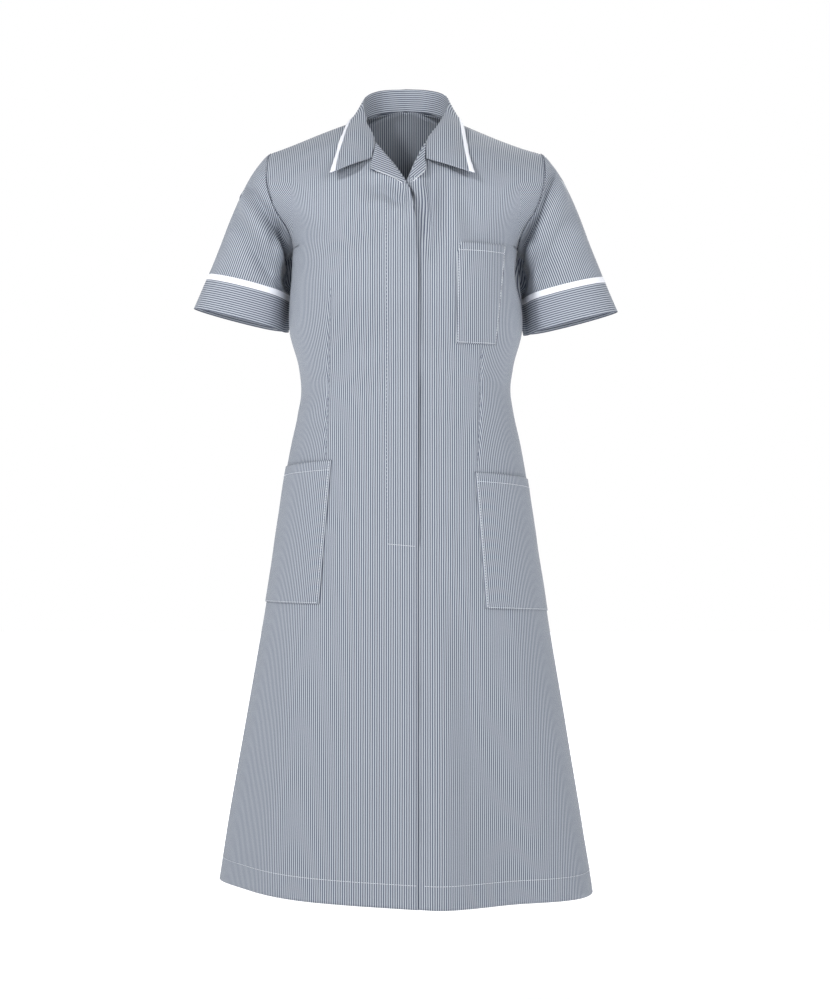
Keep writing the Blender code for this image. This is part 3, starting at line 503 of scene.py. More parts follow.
def drag_height(points, drags):
    """Drag lines that grow from the first end to the last."""
    x = points[:, 0]
    z = points[:, 2]
    height = np.zeros(len(points))
    for x0, z0, x1, z1, half0, depth0, half1, depth1, bow in drags:
        run = math.hypot(x1 - x0, z1 - z0)
        ax, az = (x1 - x0) / run, (z1 - z0) / run
        t = ((x - x0) * ax + (z - z0) * az) / run
        off = (x - x0) * -az + (z - z0) * ax
        inside = np.clip(t, 0, 1)
        off = off - bow * 4 * inside * (1 - inside) - 0.0010 * np.sin(8.0 * t)
        beyond = np.maximum(np.maximum(-t, t - 1), 0) * run
        half = half0 + (half1 - half0) * inside
        depth = depth0 + (depth1 - depth0) * inside ** 1.5
        height += depth * np.exp(-(off / half) ** 2) * np.exp(-(beyond / 0.012) ** 2)
    return height


def crease_height(points, creases, sign_x=1.0):
    """Height of all creases over points seen in the front view."""
    x = points[:, 0] * sign_x
    z = points[:, 2]
    height = np.zeros(len(points))
    for x0, z0, x1, z1, half, depth, bow in creases:
        run = math.hypot(x1 - x0, z1 - z0)
        ax, az = (x1 - x0) / run, (z1 - z0) / run
        t = ((x - x0) * ax + (z - z0) * az) / run
        off = (x - x0) * -az + (z - z0) * ax
        inside = np.clip(t, 0, 1)
        off = off - bow * 4 * inside * (1 - inside) - 0.0012 * np.sin(9.0 * t + 40 * x0)
        beyond = np.maximum(np.maximum(-t, t - 1), 0) * run
        local = half * (0.75 + 0.5 * inside)
        swell = 0.55 + 0.45 * np.sin(np.pi * np.clip(t * 0.9 + 0.08, 0, 1))
        profile = np.exp(-(off / local) ** 2) - 0.30 * np.exp(-((np.abs(off) - 1.9 * local) / (0.9 * local)) ** 2)
        height += depth * swell * profile * np.exp(-(beyond / (1.4 * half)) ** 2)
    return height


def ripple(points, seed, size, depth):
    """Faint uneven slackness of pressed cloth, the same in every run."""
    rng = np.random.RandomState(seed)
    height = np.zeros(len(points))
    for _ in range(14):
        direction = rng.normal(size=3)
        direction /= np.linalg.norm(direction)
        wave = 2 * math.pi / (size * rng.uniform(0.7, 1.9))
        height += np.sin(points @ direction * wave + rng.uniform(0, 6.28)) * rng.uniform(0.5, 1.0)
    return height * depth / 5


def vertex_normals(points, faces):
    normals = np.zeros_like(points)
    for f in (faces[:, [0, 1, 2]], faces[:, [0, 2, 3]]):
        n = np.cross(points[f[:, 1]] - points[f[:, 0]], points[f[:, 2]] - points[f[:, 0]])
        for k in range(3):
            np.add.at(normals, f[:, k], n)
    return normals / (np.linalg.norm(normals, axis=1)[:, None] + 1e-12)


def grid_faces(rows, columns, closed=False, flip=False, keep=None):
    faces = []
    across = columns if closed else columns - 1
    for r in range(rows - 1):
        for c in range(across):
            if keep is not None and not keep(r, c):
                continue
            n = (c + 1) % columns
            face = (r * columns + c, r * columns + n, (r + 1) * columns + n, (r + 1) * columns + c)
            faces.append(face[::-1] if flip else face)
    return np.array(faces)


HOME = bpy.context.scene.collection


def shell(name, points, faces, cloth_uv, material, nodes, thickness=SHELL, wrap=None):
    """Thin shell with named fabric coordinates in metres; wrap is the across length of a closed tube."""
    mesh = bpy.data.meshes.new(name)
    mesh.from_pydata([tuple(map(float, p)) for p in points], [], [tuple(int(i) for i in f) for f in faces])
    mesh.update()
    layer = mesh.uv_layers.new(name="Cloth")
    corner = np.asarray(faces).reshape(-1)
    uv = np.asarray(cloth_uv, float)[corner]
    if wrap is not None:
        quads = uv.reshape(-1, 4, 2)
        width = np.asarray(wrap)[np.asarray(faces)[:, 0]]
        far = (quads[:, :, 0].max(axis=1) - quads[:, :, 0].min(axis=1)) > width * 0.5
        for k in range(4):
            low = far & (quads[:, k, 0] < quads[:, :, 0].mean(axis=1))
            quads[low, k, 0] += width[low]
        uv = quads.reshape(-1, 2)
    layer.data.foreach_set("uv", uv.astype(np.float32).ravel())
    mesh.shade_smooth()
    made = bpy.data.objects.new(name, mesh)
    HOME.objects.link(made)
    made.data.materials.append(material)
    if thickness:
        thick = made.modifiers.new("Cloth", "SOLIDIFY")
        thick.thickness = thickness
        thick.offset = -1.0
    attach(made, "root")
    if nodes:
        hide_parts(*nodes)
    return made


# Materials
def node(tree, kind, x, y, **values):
    made = tree.nodes.new(kind)
    made.location = (x, y)
    for key, value in values.items():
        setattr(made, key, value)
    return made


def math_node(tree, kind, a, b, x, y):
    made = node(tree, "ShaderNodeMath", x, y, operation=kind)
    for socket, value in ((made.inputs[0], a), (made.inputs[1], b)):
        if isinstance(value, (int, float)):
            socket.default_value = value
        else:
            tree.links.new(value, socket)
    return made.outputs[0]


def striped_cotton(name, repeat=STRIPE_REPEAT, navy=NAVY, pale=PALE):
    """Yarn-dyed stripe: pale and navy threads by turns, plain weave, faint slubs."""
    made = bpy.data.materials.new(name)
    made.use_nodes = True
    tree = made.node_tree
    shader = tree.nodes["Principled BSDF"]
    shader.inputs["Roughness"].default_value = 0.82
    shader.inputs["Specular IOR Level"].default_value = 0.28
    shader.inputs["Sheen Weight"].default_value = 0.12
    shader.inputs["Sheen Roughness"].default_value = 0.5
    place = node(tree, "ShaderNodeUVMap", -1500, 0, uv_map="Cloth")
    split = node(tree, "ShaderNodeSeparateXYZ", -1300, 0)
    tree.links.new(place.outputs["UV"], split.inputs[0])
    across, along = split.outputs[0], split.outputs[1]
    # the threads wander a little
    wander = node(tree, "ShaderNodeTexNoise", -1300, -260)
    wander.inputs["Scale"].default_value = 90.0
    wander.inputs["Detail"].default_value = 2.0
    tree.links.new(place.outputs["UV"], wander.inputs["Vector"])
    sway = math_node(tree, "MULTIPLY", math_node(tree, "SUBTRACT", wander.outputs["Fac"], 0.5, -1100, -260), 0.00035, -900, -260)
    turned = math_node(tree, "MULTIPLY", math_node(tree, "ADD", across, sway, -900, 100), 2 * math.pi / repeat, -740, 100)
    wave = math_node(tree, "SINE", turned, 0.0, -580, 100)
    ramp = node(tree, "ShaderNodeMapRange", -420, 100, interpolation_type="SMOOTHSTEP")
    ramp.inputs["From Min"].default_value = -0.85
    ramp.inputs["From Max"].default_value = 0.92
    tree.links.new(wave, ramp.inputs["Value"])
    colour = node(tree, "ShaderNodeMix", -200, 100, data_type="RGBA")
    colour.inputs[6].default_value = (*navy, 1.0)
    colour.inputs[7].default_value = (*pale, 1.0)
    tree.links.new(ramp.outputs["Result"], colour.inputs["Factor"])
    # crossing threads of the plain weave
    thread = 2 * math.pi / 0.00052
    warp = math_node(tree, "SINE", math_node(tree, "MULTIPLY", across, thread, -1100, -520), 0.0, -900, -520)
    weft = math_node(tree, "SINE", math_node(tree, "MULTIPLY", along, thread, -1100, -680), 0.0, -900, -680)
    weave = math_node(tree, "MULTIPLY", warp, weft, -740, -600)
    slub = node(tree, "ShaderNodeTexNoise", -900, -860)
    slub.inputs["Scale"].default_value = 420.0
    slub.inputs["Detail"].default_value = 3.0
    tree.links.new(place.outputs["UV"], slub.inputs["Vector"])
    relief = math_node(tree, "ADD", math_node(tree, "MULTIPLY", weave, 0.45, -560, -600), slub.outputs["Fac"], -400, -700)
    # the colour is a little darker where the weave's relief is low: painted shade in the hollows between crossing
    # threads, with the slubs' own uneven tone
    hollow_shade_and_tone = node(tree, "ShaderNodeMapRange", -200, -300)
    hollow_shade_and_tone.inputs["From Min"].default_value = -0.2
    hollow_shade_and_tone.inputs["From Max"].default_value = 1.3
    hollow_shade_and_tone.inputs["To Min"].default_value = 0.90
    hollow_shade_and_tone.inputs["To Max"].default_value = 1.06
    tree.links.new(relief, hollow_shade_and_tone.inputs["Value"])
    shade = node(tree, "ShaderNodeMix", 0, 100, data_type="RGBA", blend_type="MULTIPLY")
    shade.inputs["Factor"].default_value = 1.0
    tree.links.new(colour.outputs[2], shade.inputs[6])
    grey = node(tree, "ShaderNodeCombineColor", -20, -300)
    for k in range(3):
        tree.links.new(hollow_shade_and_tone.outputs["Result"], grey.inputs[k])
    tree.links.new(grey.outputs[0], shade.inputs[7])
    tree.links.new(shade.outputs[2], shader.inputs["Base Color"])
    bump = node(tree, "ShaderNodeBump", 0, -500)
    bump.inputs["Strength"].default_value = 0.35
    bump.inputs["Distance"].default_value = 0.00025
    tree.links.new(relief, bump.inputs["Height"])
    tree.links.new(bump.outputs["Normal"], shader.inputs["Normal"])
    made.diffuse_color = (0.37, 0.41, 0.5, 1)
    return made


def white_cotton(name, colour=TAPE_WHITE, twill=0.0011):
    """White tape and thread, with a fine slanting rib."""
    made = bpy.data.materials.new(name)
    made.use_nodes = True
    tree = made.node_tree
    shader = tree.nodes["Principled BSDF"]
    shader.inputs["Roughness"].default_value = 0.75
    shader.inputs["Specular IOR Level"].default_value = 0.3
    shader.inputs["Sheen Weight"].default_value = 0.1
    place = node(tree, "ShaderNodeUVMap", -1200, 0, uv_map="Cloth")
    split = node(tree, "ShaderNodeSeparateXYZ", -1000, 0)
    tree.links.new(place.outputs["UV"], split.inputs[0])
    slant = math_node(tree, "ADD", split.outputs[0], split.outputs[1], -820, 0)
    rib = math_node(tree, "SINE", math_node(tree, "MULTIPLY", slant, 2 * math.pi / twill, -660, 0), 0.0, -500, 0)
    fuzz = node(tree, "ShaderNodeTexNoise", -820, -260)
    fuzz.inputs["Scale"].default_value = 900.0
    tree.links.new(place.outputs["UV"], fuzz.inputs["Vector"])
    relief = math_node(tree, "ADD", math_node(tree, "MULTIPLY", rib, 0.35, -340, 0), fuzz.outputs["Fac"], -180, -100)
    # the colour is a little darker where the rib's relief is low: painted shade in the rib's hollows, with the fuzz's
    # own uneven tone
    hollow_shade_and_tone = node(tree, "ShaderNodeMapRange", -180, 160)
    hollow_shade_and_tone.inputs["To Min"].default_value = 0.93
    hollow_shade_and_tone.inputs["To Max"].default_value = 1.03
    tree.links.new(relief, hollow_shade_and_tone.inputs["Value"])
    shade = node(tree, "ShaderNodeMix", 0, 160, data_type="RGBA", blend_type="MULTIPLY")
    shade.inputs["Factor"].default_value = 1.0
    shade.inputs[6].default_value = (*colour, 1.0)
    grey = node(tree, "ShaderNodeCombineColor", -20, 0)
    for k in range(3):
        tree.links.new(hollow_shade_and_tone.outputs["Result"], grey.inputs[k])
    tree.links.new(grey.outputs[0], shade.inputs[7])
    tree.links.new(shade.outputs[2], shader.inputs["Base Color"])
    bump = node(tree, "ShaderNodeBump", 0, -260)
    bump.inputs["Strength"].default_value = 0.4
    bump.inputs["Distance"].default_value = 0.0002
    tree.links.new(relief, bump.inputs["Height"])
    tree.links.new(bump.outputs["Normal"], shader.inputs["Normal"])
    return made


striped = striped_cotton("striped cotton")
tape_white = white_cotton("white tape")
thread_white = white_cotton("white thread", (0.74, 0.77, 0.83), 0.0007)
thread_navy = white_cotton("navy thread", (0.045, 0.055, 0.110), 0.0007)

# Darts: outward x and z at the top, the waist and the foot, and the cloth taken in at the waist
DARTS = {
    -1: ((-0.0965, -0.2200), (-0.1010, -0.3550), (-0.1050, -0.4560), 0.012),
    1: ((0.0985, -0.2900), (0.0985, -0.3550), (0.0935, -0.4700), 0.012),
}


def dart_line(side, z):
    top, middle, foot, intake = DARTS[side]
    return float(np.interp(z, [foot[1], middle[1], top[1]], [foot[0], middle[0], top[0]]))


def dart_intake(side, z):
    top, middle, foot, intake = DARTS[side]
    if z > top[1] or z < foot[1]:
        return 0.0
    if z > middle[1]:
        return intake * smooth(top[1], middle[1], z)
    return intake * smooth(foot[1], middle[1], z)


FRONT_COLUMNS = 140
FRONT_ROWS_BODY = 170
FRONT_ROWS_UPPER = 60
BACK_COLUMNS = 72


def places(count_body, count_upper):
    body = [-1 + i / count_body for i in range(count_body + 1)]
    return body + [(i + 1) / count_upper for i in range(count_upper)]


def across_length(points, start):
    """Running level distance along one row, as cut cloth."""
    steps = np.linalg.norm(np.diff(points[:, :2], axis=0), axis=1)
    return start + np.concatenate([[0.0], np.cumsum(steps)])


def straight_above(side, lines, lengths, rows, anchor):
    """Keeps the threads in step at the anchor; above the underarm they run straight up to the shoulder."""
    first = rows.index(0.0)
    for k in range(first + 1):
        here = lines[k][:, 0] * side
        lengths[k] = lengths[k] - np.interp(anchor, here, lengths[k]) + anchor
    x = lines[first][:, 0] * side
    known = np.concatenate([[True], np.diff(x) > 1e-6])
    x, s = x[known], lengths[first][known]
    near = x < 0.115
    for k in range(first + 1, len(rows)):
        here = lines[k][:, 0] * side
        ahead = np.minimum(here - x[0], 0)
        full = np.interp(here, x, s) + np.maximum(here - x[-1], 0) * 1.5 + ahead
        flat = np.interp(here, x[near], s[near]) + np.maximum(here - x[near][-1], 0) * 1.12 + ahead
        up = smooth_all(UNDERARM_Z + 0.004, UNDERARM_Z + 0.085, lines[k][:, 2])
        lengths[k] = full * (1 - up) + flat * up
    return lengths


def dart_cut(x, at, take, half):
    """Cloth taken in beyond a dart and the groove over it."""
    beyond = smooth_all(-half, half, x - at)
    groove = -0.0019 * np.exp(-((x - at) / 0.0019) ** 2) + 0.0010 * np.exp(-((x - at) / 0.009) ** 2)
    return take * beyond, groove


def fronts():
    made = {}
    for side, name in ((-1, "front_right"), (1, "front_left")):
        rows = places(FRONT_ROWS_BODY, FRONT_ROWS_UPPER)
        lines = [np.array([front_point(side, c / (FRONT_COLUMNS - 1), v) for c in range(FRONT_COLUMNS)]) for v in rows]
        lengths = np.array([across_length(line, front_row(side, v)[1]) for line, v in zip(lines, rows)])
        lengths = straight_above(side, lines, lengths, rows, 0.030)
        dart_pinch = []
        uv = []
        top, middle, foot, _ = DARTS[side]
        for line, s in zip(lines, lengths):
            z = line[0, 2]
            ends = smooth(top[1], top[1] - 0.03, z) * smooth(foot[1], foot[1] + 0.03, z)
            taken, groove = dart_cut(line[:, 0] * side, dart_line(side, z) * side, dart_intake(side, z), 0.0012)
            dart_pinch.append(groove * ends)
            uv.append(np.stack([(s + taken) * side, line[:, 2]], axis=1))
        points = np.concatenate(lines)
        uv = np.concatenate(uv)
        faces = grid_faces(len(rows), FRONT_COLUMNS, False, side < 0)
        normals = vertex_normals(points, faces)
        height = crease_height(points, FRONT_CREASES) + ripple(points, 5 + side, 0.09, 0.0006)
        height += np.concatenate(dart_pinch)
        # calm at the side seam, the armhole and the shoulder, and where the other front lies on it
        share = np.tile(np.linspace(0, 1, FRONT_COLUMNS), len(rows))
        height *= smooth_all(1.0, 0.955, share)
        level = np.repeat(np.array(rows), FRONT_COLUMNS)
        height *= 1 - smooth_all(0.95, 1.0, level)
        edge = np.array([lap_world_x(z) for z in points[:, 2]])
        fly = smooth_all(FLY_BAR_Z - 0.006, FLY_BAR_Z + 0.004, points[:, 2]) * smooth_all(-0.085, -0.105, points[:, 2])
        closed = smooth_all(FLY_BAR_Z + 0.004, FLY_BAR_Z - 0.006, points[:, 2])
        if side > 0:
            height = np.where(points[:, 0] < edge + 0.003, np.minimum(height, 0.0003), height)
            beside = np.maximum(points[:, 0] - edge, 0)
            slack = 0.0022 + 0.0010 * np.sin(points[:, 2] * 31.0 + 1.0) + 0.0005 * np.sin(points[:, 2] * 83.0)
            height -= fly * slack * np.exp(-(beside / 0.0060) ** 2)
            height -= closed * 0.0008 * np.exp(-(beside / 0.0022) ** 2)
        else:
            beside = np.abs(points[:, 0] * side * -1.0 - edge)
            height += fly * (0.0013 + 0.0004 * np.sin(points[:, 2] * 47.0)) * np.exp(-(beside / 0.0050) ** 2)
            top_roll = smooth_all(-0.165, -0.120, points[:, 2]) * smooth_all(-0.088, -0.104, points[:, 2])
            height += top_roll * 0.0045 * np.exp(-(beside / 0.013) ** 2)
            height -= closed * 0.0008 * np.exp(-(beside / 0.0022) ** 2)
            stitch = np.abs(points[:, 0] + 0.0245)
            height -= fly * 0.0004 * np.exp(-(stitch / 0.0014) ** 2)
        # seam pucker along the armhole
        arm = smooth_all(0.0, 0.10, level) * smooth_all(0.95, 0.995, share)
        height -= arm * (0.0007 + 0.0004 * np.sin(level * 95 + 2 * np.sin(level * 21)))
        points = points + normals * height[:, None]
        if side > 0:
            hollow = smooth_all(0.76, 0.90, share) * smooth_all(1.0, 0.985, share)
            hollow *= np.exp(-((points[:, 2] + 0.204) / 0.030) ** 2)
            points[:, 0] -= 0.0060 * hollow
        made[side] = (points, rows)
        shell(name + "_cloth", points, faces, uv, striped, [name])
    return made


def back():
    rows = places(FRONT_ROWS_BODY, FRONT_ROWS_UPPER)
    neck_row = min(range(len(rows)), key=lambda k: abs(rows[k] - BACK_NECK_SHARE))
    rows[neck_row] = BACK_NECK_SHARE
    points, uv, index, faces = [], [], {}, []
    halves = {}
    for side in (-1, 1):
        lines = [np.array([back_point(side, c / (BACK_COLUMNS - 1), v) for c in range(BACK_COLUMNS)]) for v in rows]
        lengths = np.array([across_length(line, abs(line[0, 0])) for line in lines])
        halves[side] = (lines, straight_above(side, lines, lengths, rows, 0.0))
    for r, v in enumerate(rows):
        for side in (-1, 1):
            line = halves[side][0][r]
            s = halves[side][1][r]
            z = line[0, 2]
            take = 0.011 * smooth(-0.21, -0.33, z) * smooth(-0.47, -0.37, z)
            s = s + take * smooth_all(-0.0015, 0.0015, np.abs(line[:, 0]) - 0.074)
            for c in range(BACK_COLUMNS):
                if c == 0 and r <= neck_row and side == 1:
                    index[(r, 1, 0)] = index[(r, -1, 0)]
                    continue
                index[(r, side, c)] = len(points)
                points.append(line[c])
                uv.append((s[c] * side, line[c, 2]))
    for r in range(len(rows) - 1):
        for side in (-1, 1):
            for c in range(BACK_COLUMNS - 1):
                face = (index[(r, side, c)], index[(r + 1, side, c)], index[(r + 1, side, c + 1)], index[(r, side, c + 1)])
                faces.append(face if side > 0 else face[::-1])
    points = np.array(points)
    faces = np.array(faces)
    normals = vertex_normals(points, faces)
    pinch = np.zeros(len(points))
    z = points[:, 2]
    window = smooth_all(-0.21, -0.24, z) * smooth_all(-0.47, -0.44, z)
    off = np.abs(points[:, 0]) - 0.074
    pinch += window * (-0.0011 * np.exp(-(off / 0.0022) ** 2) + 0.0007 * np.exp(-(off / 0.009) ** 2))
    height = crease_height(points, BACK_CREASES) + ripple(points, 11, 0.09, 0.0007) + pinch
    share = np.zeros(len(points))
    level = np.zeros(len(points))
    for (r, side, c), k in index.items():
        share[k] = c / (BACK_COLUMNS - 1)
        level[k] = rows[r]
    height *= smooth_all(1.0, 0.955, share)
    height *= 1 - smooth_all(0.90, 0.97, level)
    points = points + normals * height[:, None]
    shell("back_cloth", points, faces, np.array(uv), striped, ["back_right", "back_left"])
    return points, index, rows


front_shells = fronts()
back_shell = back()


# Sleeves
SLEEVE_COLUMNS = 120
SLEEVE_ROWS = 84


def arm_sections(side, count):
    curves = []
    for i in range(count):
        share = i / count
        if share <= 0.5:
            mark = UNDERARM_MARK * share * 2
        else:
            mark = UNDERARM_MARK + (ARMHOLE_LENGTH - UNDERARM_MARK) * (share - 0.5) * 2
        start = armhole(mark)
        angle = 2 * math.pi * share
        end = np.array(SLEEVE_RING_CENTRE) + np.array(SLEEVE_RING_OUT) * math.cos(angle)
        end[2] -= SLEEVE_DROP_LEFT if side > 0 else 0.0
        end = end + np.array([0.0, -SLEEVE_RING_DEPTH * math.sin(angle), 0.0])
        run = spline([r[0] for r in SLEEVE_RUN], [r[1:] for r in SLEEVE_RUN], share, True)
        leave = run[:3] / np.linalg.norm(run[:3])
        arrive = run[3:] / np.linalg.norm(run[3:])
        length = np.linalg.norm(end - start)
        t = np.linspace(0.0, 1.0, 81)[:, None]
        curves.append(bezier(start, start + leave * length * 0.22, end - arrive * length * 0.50, end, t))
    return curves


def along_all(line, distances):
    marks = chord_marks(line)
    return np.stack([np.interp(np.clip(distances, 0, marks[-1]), marks, line[:, k]) for k in range(3)], axis=1)


UNDERARM_TUCK = 0.026
UNDERARM_CLOSE = 0.0085
ARM_AXIS = np.array([0.36, 0.0, -0.93])
ARM_OUT = np.array([0.93, 0.0, 0.36])


def ellipse_run(half, turn):
    """Length along an ellipse of the sleeve's depth from its outer end to each turn."""
    fine = np.linspace(0.0, math.pi / 2, 400)
    step = np.hypot(np.diff(np.cos(fine)) * half, np.diff(np.sin(fine)) * SLEEVE_RING_DEPTH)
    return np.interp(turn, fine, np.concatenate([[0.0], np.cumsum(step)]))


def arm_half(out, deep, most, widest):
    """Distance from one end of a half sleeve, in step with the widest row at the middle."""
    end_on = smooth_all(0.88, 0.985, out / most) * smooth_all(0.72, 0.45, np.abs(deep))
    turn = np.arccos(np.clip(out / most, 0, 1)) * (1 - end_on) + np.arcsin(np.clip(deep, -1, 1)) * end_on
    own = ellipse_run(most, math.pi / 2)
    missing = ellipse_run(widest, math.pi / 2) - own
    return ellipse_run(most, turn) + missing * smooth_all(0.0, math.pi / 2, turn)


def sleeve_around(grid, plain):
    """Distance round the arm, so that each stripe runs straight along the arm as seen from the front."""
    middle = np.array(SLEEVE_RING_CENTRE) @ ARM_OUT
    out = grid @ ARM_OUT - middle
    rest = plain @ ARM_OUT - middle
    outer = rest.max(axis=1) + 0.0003
    inner = -rest.min(axis=1) + 0.0003
    whole = 2 * (ellipse_run(outer.max(), math.pi / 2) + ellipse_run(inner.max(), math.pi / 2))
    columns = grid.shape[1]
    share = np.arange(columns) / columns
    across = np.minimum(share, 1 - share)
    near_crown = 1 - smooth_all(0.0, 0.12, across)
    near_seam = smooth_all(0.40, 0.5, across)
    made = []
    for r, row in enumerate(out):
        fore = -grid[r, :, 1] / (np.abs(plain[r, :, 1]).max() + 0.0003)
        halves = []
        for way in (1, -1):
            from_crown = arm_half(row, fore * way, outer[r], outer.max())
            from_seam = whole / 2 - arm_half(-row, fore * way, inner[r], inner.max())
            reach = np.where(row >= 0, from_crown, from_seam)
            halves.append(reach - reach[0] * near_crown + (whole / 2 - reach[columns // 2]) * near_seam)
        made.append(np.where(share <= 0.5, halves[0], whole - halves[1]))
    return np.array(made), whole


def tube(side, name, lines, first, last, rows, material, nodes, creased, stripes_along, proud=0.0, tuck_fade=1.0):
    """Sleeve, band or cuff; tuck_fade is how much of the fold under the arm each row keeps."""
    tuck_fade = np.linspace(tuck_fade, tuck_fade if first is not None and last > 0 else 0.75, rows)
    turn = np.array([side, 1, 1])
    grid = []
    for line in lines:
        end = chord_marks(line)[-1]
        top = 0.0 if first is None else end - first
        grid.append(along_all(line, np.linspace(top, end - last, rows)))
    grid = np.array(grid).transpose(1, 0, 2)
    columns = len(lines)
    axis = np.array([0.36, 0.0, -0.93])
    step = np.roll(grid, -1, axis=1) - grid
    step = step - (step @ axis)[..., None] * axis
    lengths = np.linalg.norm(step, axis=2)
    around = np.concatenate([np.zeros((rows, 1)), np.cumsum(lengths, axis=1)], axis=1)
    total = around[:, -1]
    around = around[:, :-1]
    down = np.linalg.norm(np.diff(grid, axis=0), axis=2)
    down = np.concatenate([np.zeros((1, columns)), np.cumsum(down, axis=0)])
    down = down - down[-1][None]
    points = grid.reshape(-1, 3)
    faces = grid_faces(rows, columns, True, side < 0)
    own = grid_faces(rows, columns, True, False)
    normals = vertex_normals(points, own)
    height = np.full(len(points), proud)
    share = np.tile(np.arange(columns) / columns, rows)
    level = np.repeat(np.linspace(0, 1, rows), columns)
    if creased:
        front = np.where(share < 0.5, 1.0, 0.0)
        front_gate = smooth_all(0.03, 0.12, share) * smooth_all(0.50, 0.42, share)
        back_gate = smooth_all(0.97, 0.88, share) * smooth_all(0.50, 0.58, share)
        fine = crease_height(points, SLEEVE_CREASES) + drag_height(points, SLEEVE_DRAGS[side])
        other = crease_height(points * np.array([1, 1, 1.04]), SLEEVE_CREASES)
        height += fine * front_gate * front + other * back_gate * 0.8
        height += ripple(points + side, 21 + side, 0.06, 0.0005)
        height *= smooth_all(0.0, 0.06, level) * smooth_all(1.0, 0.93, level)
        # eased cap: small gathers fading below the armhole seam
        puff = np.sin(share * 2 * math.pi * 17 + 1.3 * np.sin(share * 23)) * np.exp(-((level - 0.05) / 0.05) ** 2)
        height += 0.0005 * puff * (smooth_all(0.20, 0.05, share) + smooth_all(0.80, 0.95, share))
        # clear of the body under the arm
        under = np.exp(-((share - 0.5) / 0.10) ** 2)
        height = np.where(height > 0, height * (1 - under), height)
    points = points + normals * height[:, None]
    laid = points.reshape(grid.shape).copy()
    share_all = np.tile(np.arange(columns) / columns, rows)
    tuck = np.exp(-((share_all - 0.475) / 0.050) ** 2)
    if creased:
        tuck = tuck * smooth_all(0.60, 1.0, np.repeat(np.linspace(0, 1, rows), columns))
    else:
        tuck = tuck * np.repeat(tuck_fade, columns)
    points[:, 1] += tuck * UNDERARM_TUCK
    if creased:
        # the front of the sleeve turns back deep beside the body, behind a soft lip
        shape = points.reshape(grid.shape)
        half = columns // 2
        for r in range(rows):
            down_share = r / (rows - 1)
            turn_from = 0.345 + 0.085 * down_share + (0.022 if side > 0 else 0.0)
            held = smooth(0.03, 0.20, down_share) * smooth(1.0, 0.86, down_share)
            i = int(turn_from * columns)
            part = turn_from * columns - i
            lip = shape[r, i] * (1 - part) + shape[r, i + 1] * part
            inner_x = shape[r, half, 0] - 0.006
            for c in range(i + 1, int(0.66 * columns) + 1):
                here = shape[r, c, :2].copy()
                if c <= half:
                    run = (c / columns - turn_from) / (0.5 - turn_from)
                    aim = np.array([lip[0] + 0.0008 * run, lip[1] + (0.040 - lip[1]) * run ** 0.9])
                elif c <= 0.56 * columns:
                    run = (c / columns - 0.5) / 0.06
                    aim = np.array([lip[0] + (inner_x - lip[0]) * run, 0.040 + 0.004 * run])
                else:
                    run = (c / columns - 0.56) / 0.10
                    aim = np.array([inner_x + (here[0] - inner_x) * run, max(here[1], 0.044)])
                shape[r, c, :2] = here + (aim - here) * held
            for c in range(max(i - 14, 0), i + 1):
                swell = math.exp(-((c / columns - turn_from + 0.030) / 0.028) ** 2)
                shape[r, c, 1] -= 0.0030 * swell * smooth(0.05, 0.4, down_share) * smooth(1.0, 0.75, down_share)
        points = shape.reshape(-1, 3)
    behind = np.exp(-((share_all - 0.545) / 0.052) ** 2)
    points[:, 0] -= behind * UNDERARM_CLOSE * (smooth_all(0.70, 1.0, level) if creased else 1.0)
    if creased:
        level_around, whole = sleeve_around(laid, grid)
        # inside the deep turn the stripes keep their width
        first_in = int(0.345 * columns)
        last_in = int(0.66 * columns) + 1
        held = points.reshape(grid.shape)
        step = np.diff(held, axis=1)
        step = np.linalg.norm(step - (step @ axis)[..., None] * axis, axis=2)
        for r in range(2, rows):
            going = level_around[r, first_in] + np.cumsum(step[r, first_in:half])
            coming = level_around[r, last_in] - np.cumsum(step[r, half + 1:last_in][::-1])
            share_in = smooth(0.0, 0.10, r / (rows - 1))
            level_around[r, first_in + 1:half + 1] += (going - level_around[r, first_in + 1:half + 1]) * share_in
            level_around[r, half + 1:last_in] += (coming[::-1] - level_around[r, half + 1:last_in]) * share_in
        uv = np.stack([level_around.reshape(-1), down.reshape(-1)], axis=1)
        wrap = np.full(len(points), whole)
    elif stripes_along:
        uv = np.stack([around.reshape(-1), down.reshape(-1)], axis=1)
        wrap = np.repeat(total, columns)
    else:
        uv = np.stack([down.reshape(-1), around.reshape(-1)], axis=1)
        wrap = None
    shell(name, points * turn, faces, uv, material, nodes, SHELL, wrap)
    return grid


for side, name in ((-1, "right"), (1, "left")):
    lines = arm_sections(side, SLEEVE_COLUMNS)
    tube(side, "sleeve_" + name + "_cloth", lines, None, CUFF_DEPTH + BAND_WIDTH, SLEEVE_ROWS, striped,
         ["sleeve_" + name], True, True)
    tube(side, "cuff_band_" + name + "_tape", lines, CUFF_DEPTH + BAND_WIDTH + 0.0006, CUFF_DEPTH - 0.0006, 8, tape_white,
         ["cuff_band_" + name], False, True, 0.0007)
    tube(side, "cuff_" + name + "_cloth", lines, CUFF_DEPTH, 0.0, 24, striped,
         ["cuff_" + name], False, False, 0.0003)


# Collar
COLLAR_MARKS = chord_marks([row[1] for row in COLLAR])
ROLL_START = len(COLLAR) - 2


def lean(p):
    move = max(-COLLAR_FRONT_LEAN_MOST, COLLAR_FRONT_LEAN * min(p[1], 0.0))
    fade = 1 - 0.55 * smooth(0.045, 0.095, abs(p[0]))
    return np.array([p[0] + move * fade, p[1], p[2]])


def collar_station(mark):
    roll = spline(COLLAR_MARKS, [row[1] for row in COLLAR], mark)
    edge = spline(COLLAR_MARKS, [row[2] for row in COLLAR], mark)
    seam_marks = COLLAR_MARKS[:ROLL_START + 1]
    seam = spline(seam_marks, [row[0] for row in COLLAR[:ROLL_START + 1]], min(mark, seam_marks[-1]))
    return seam, roll, edge


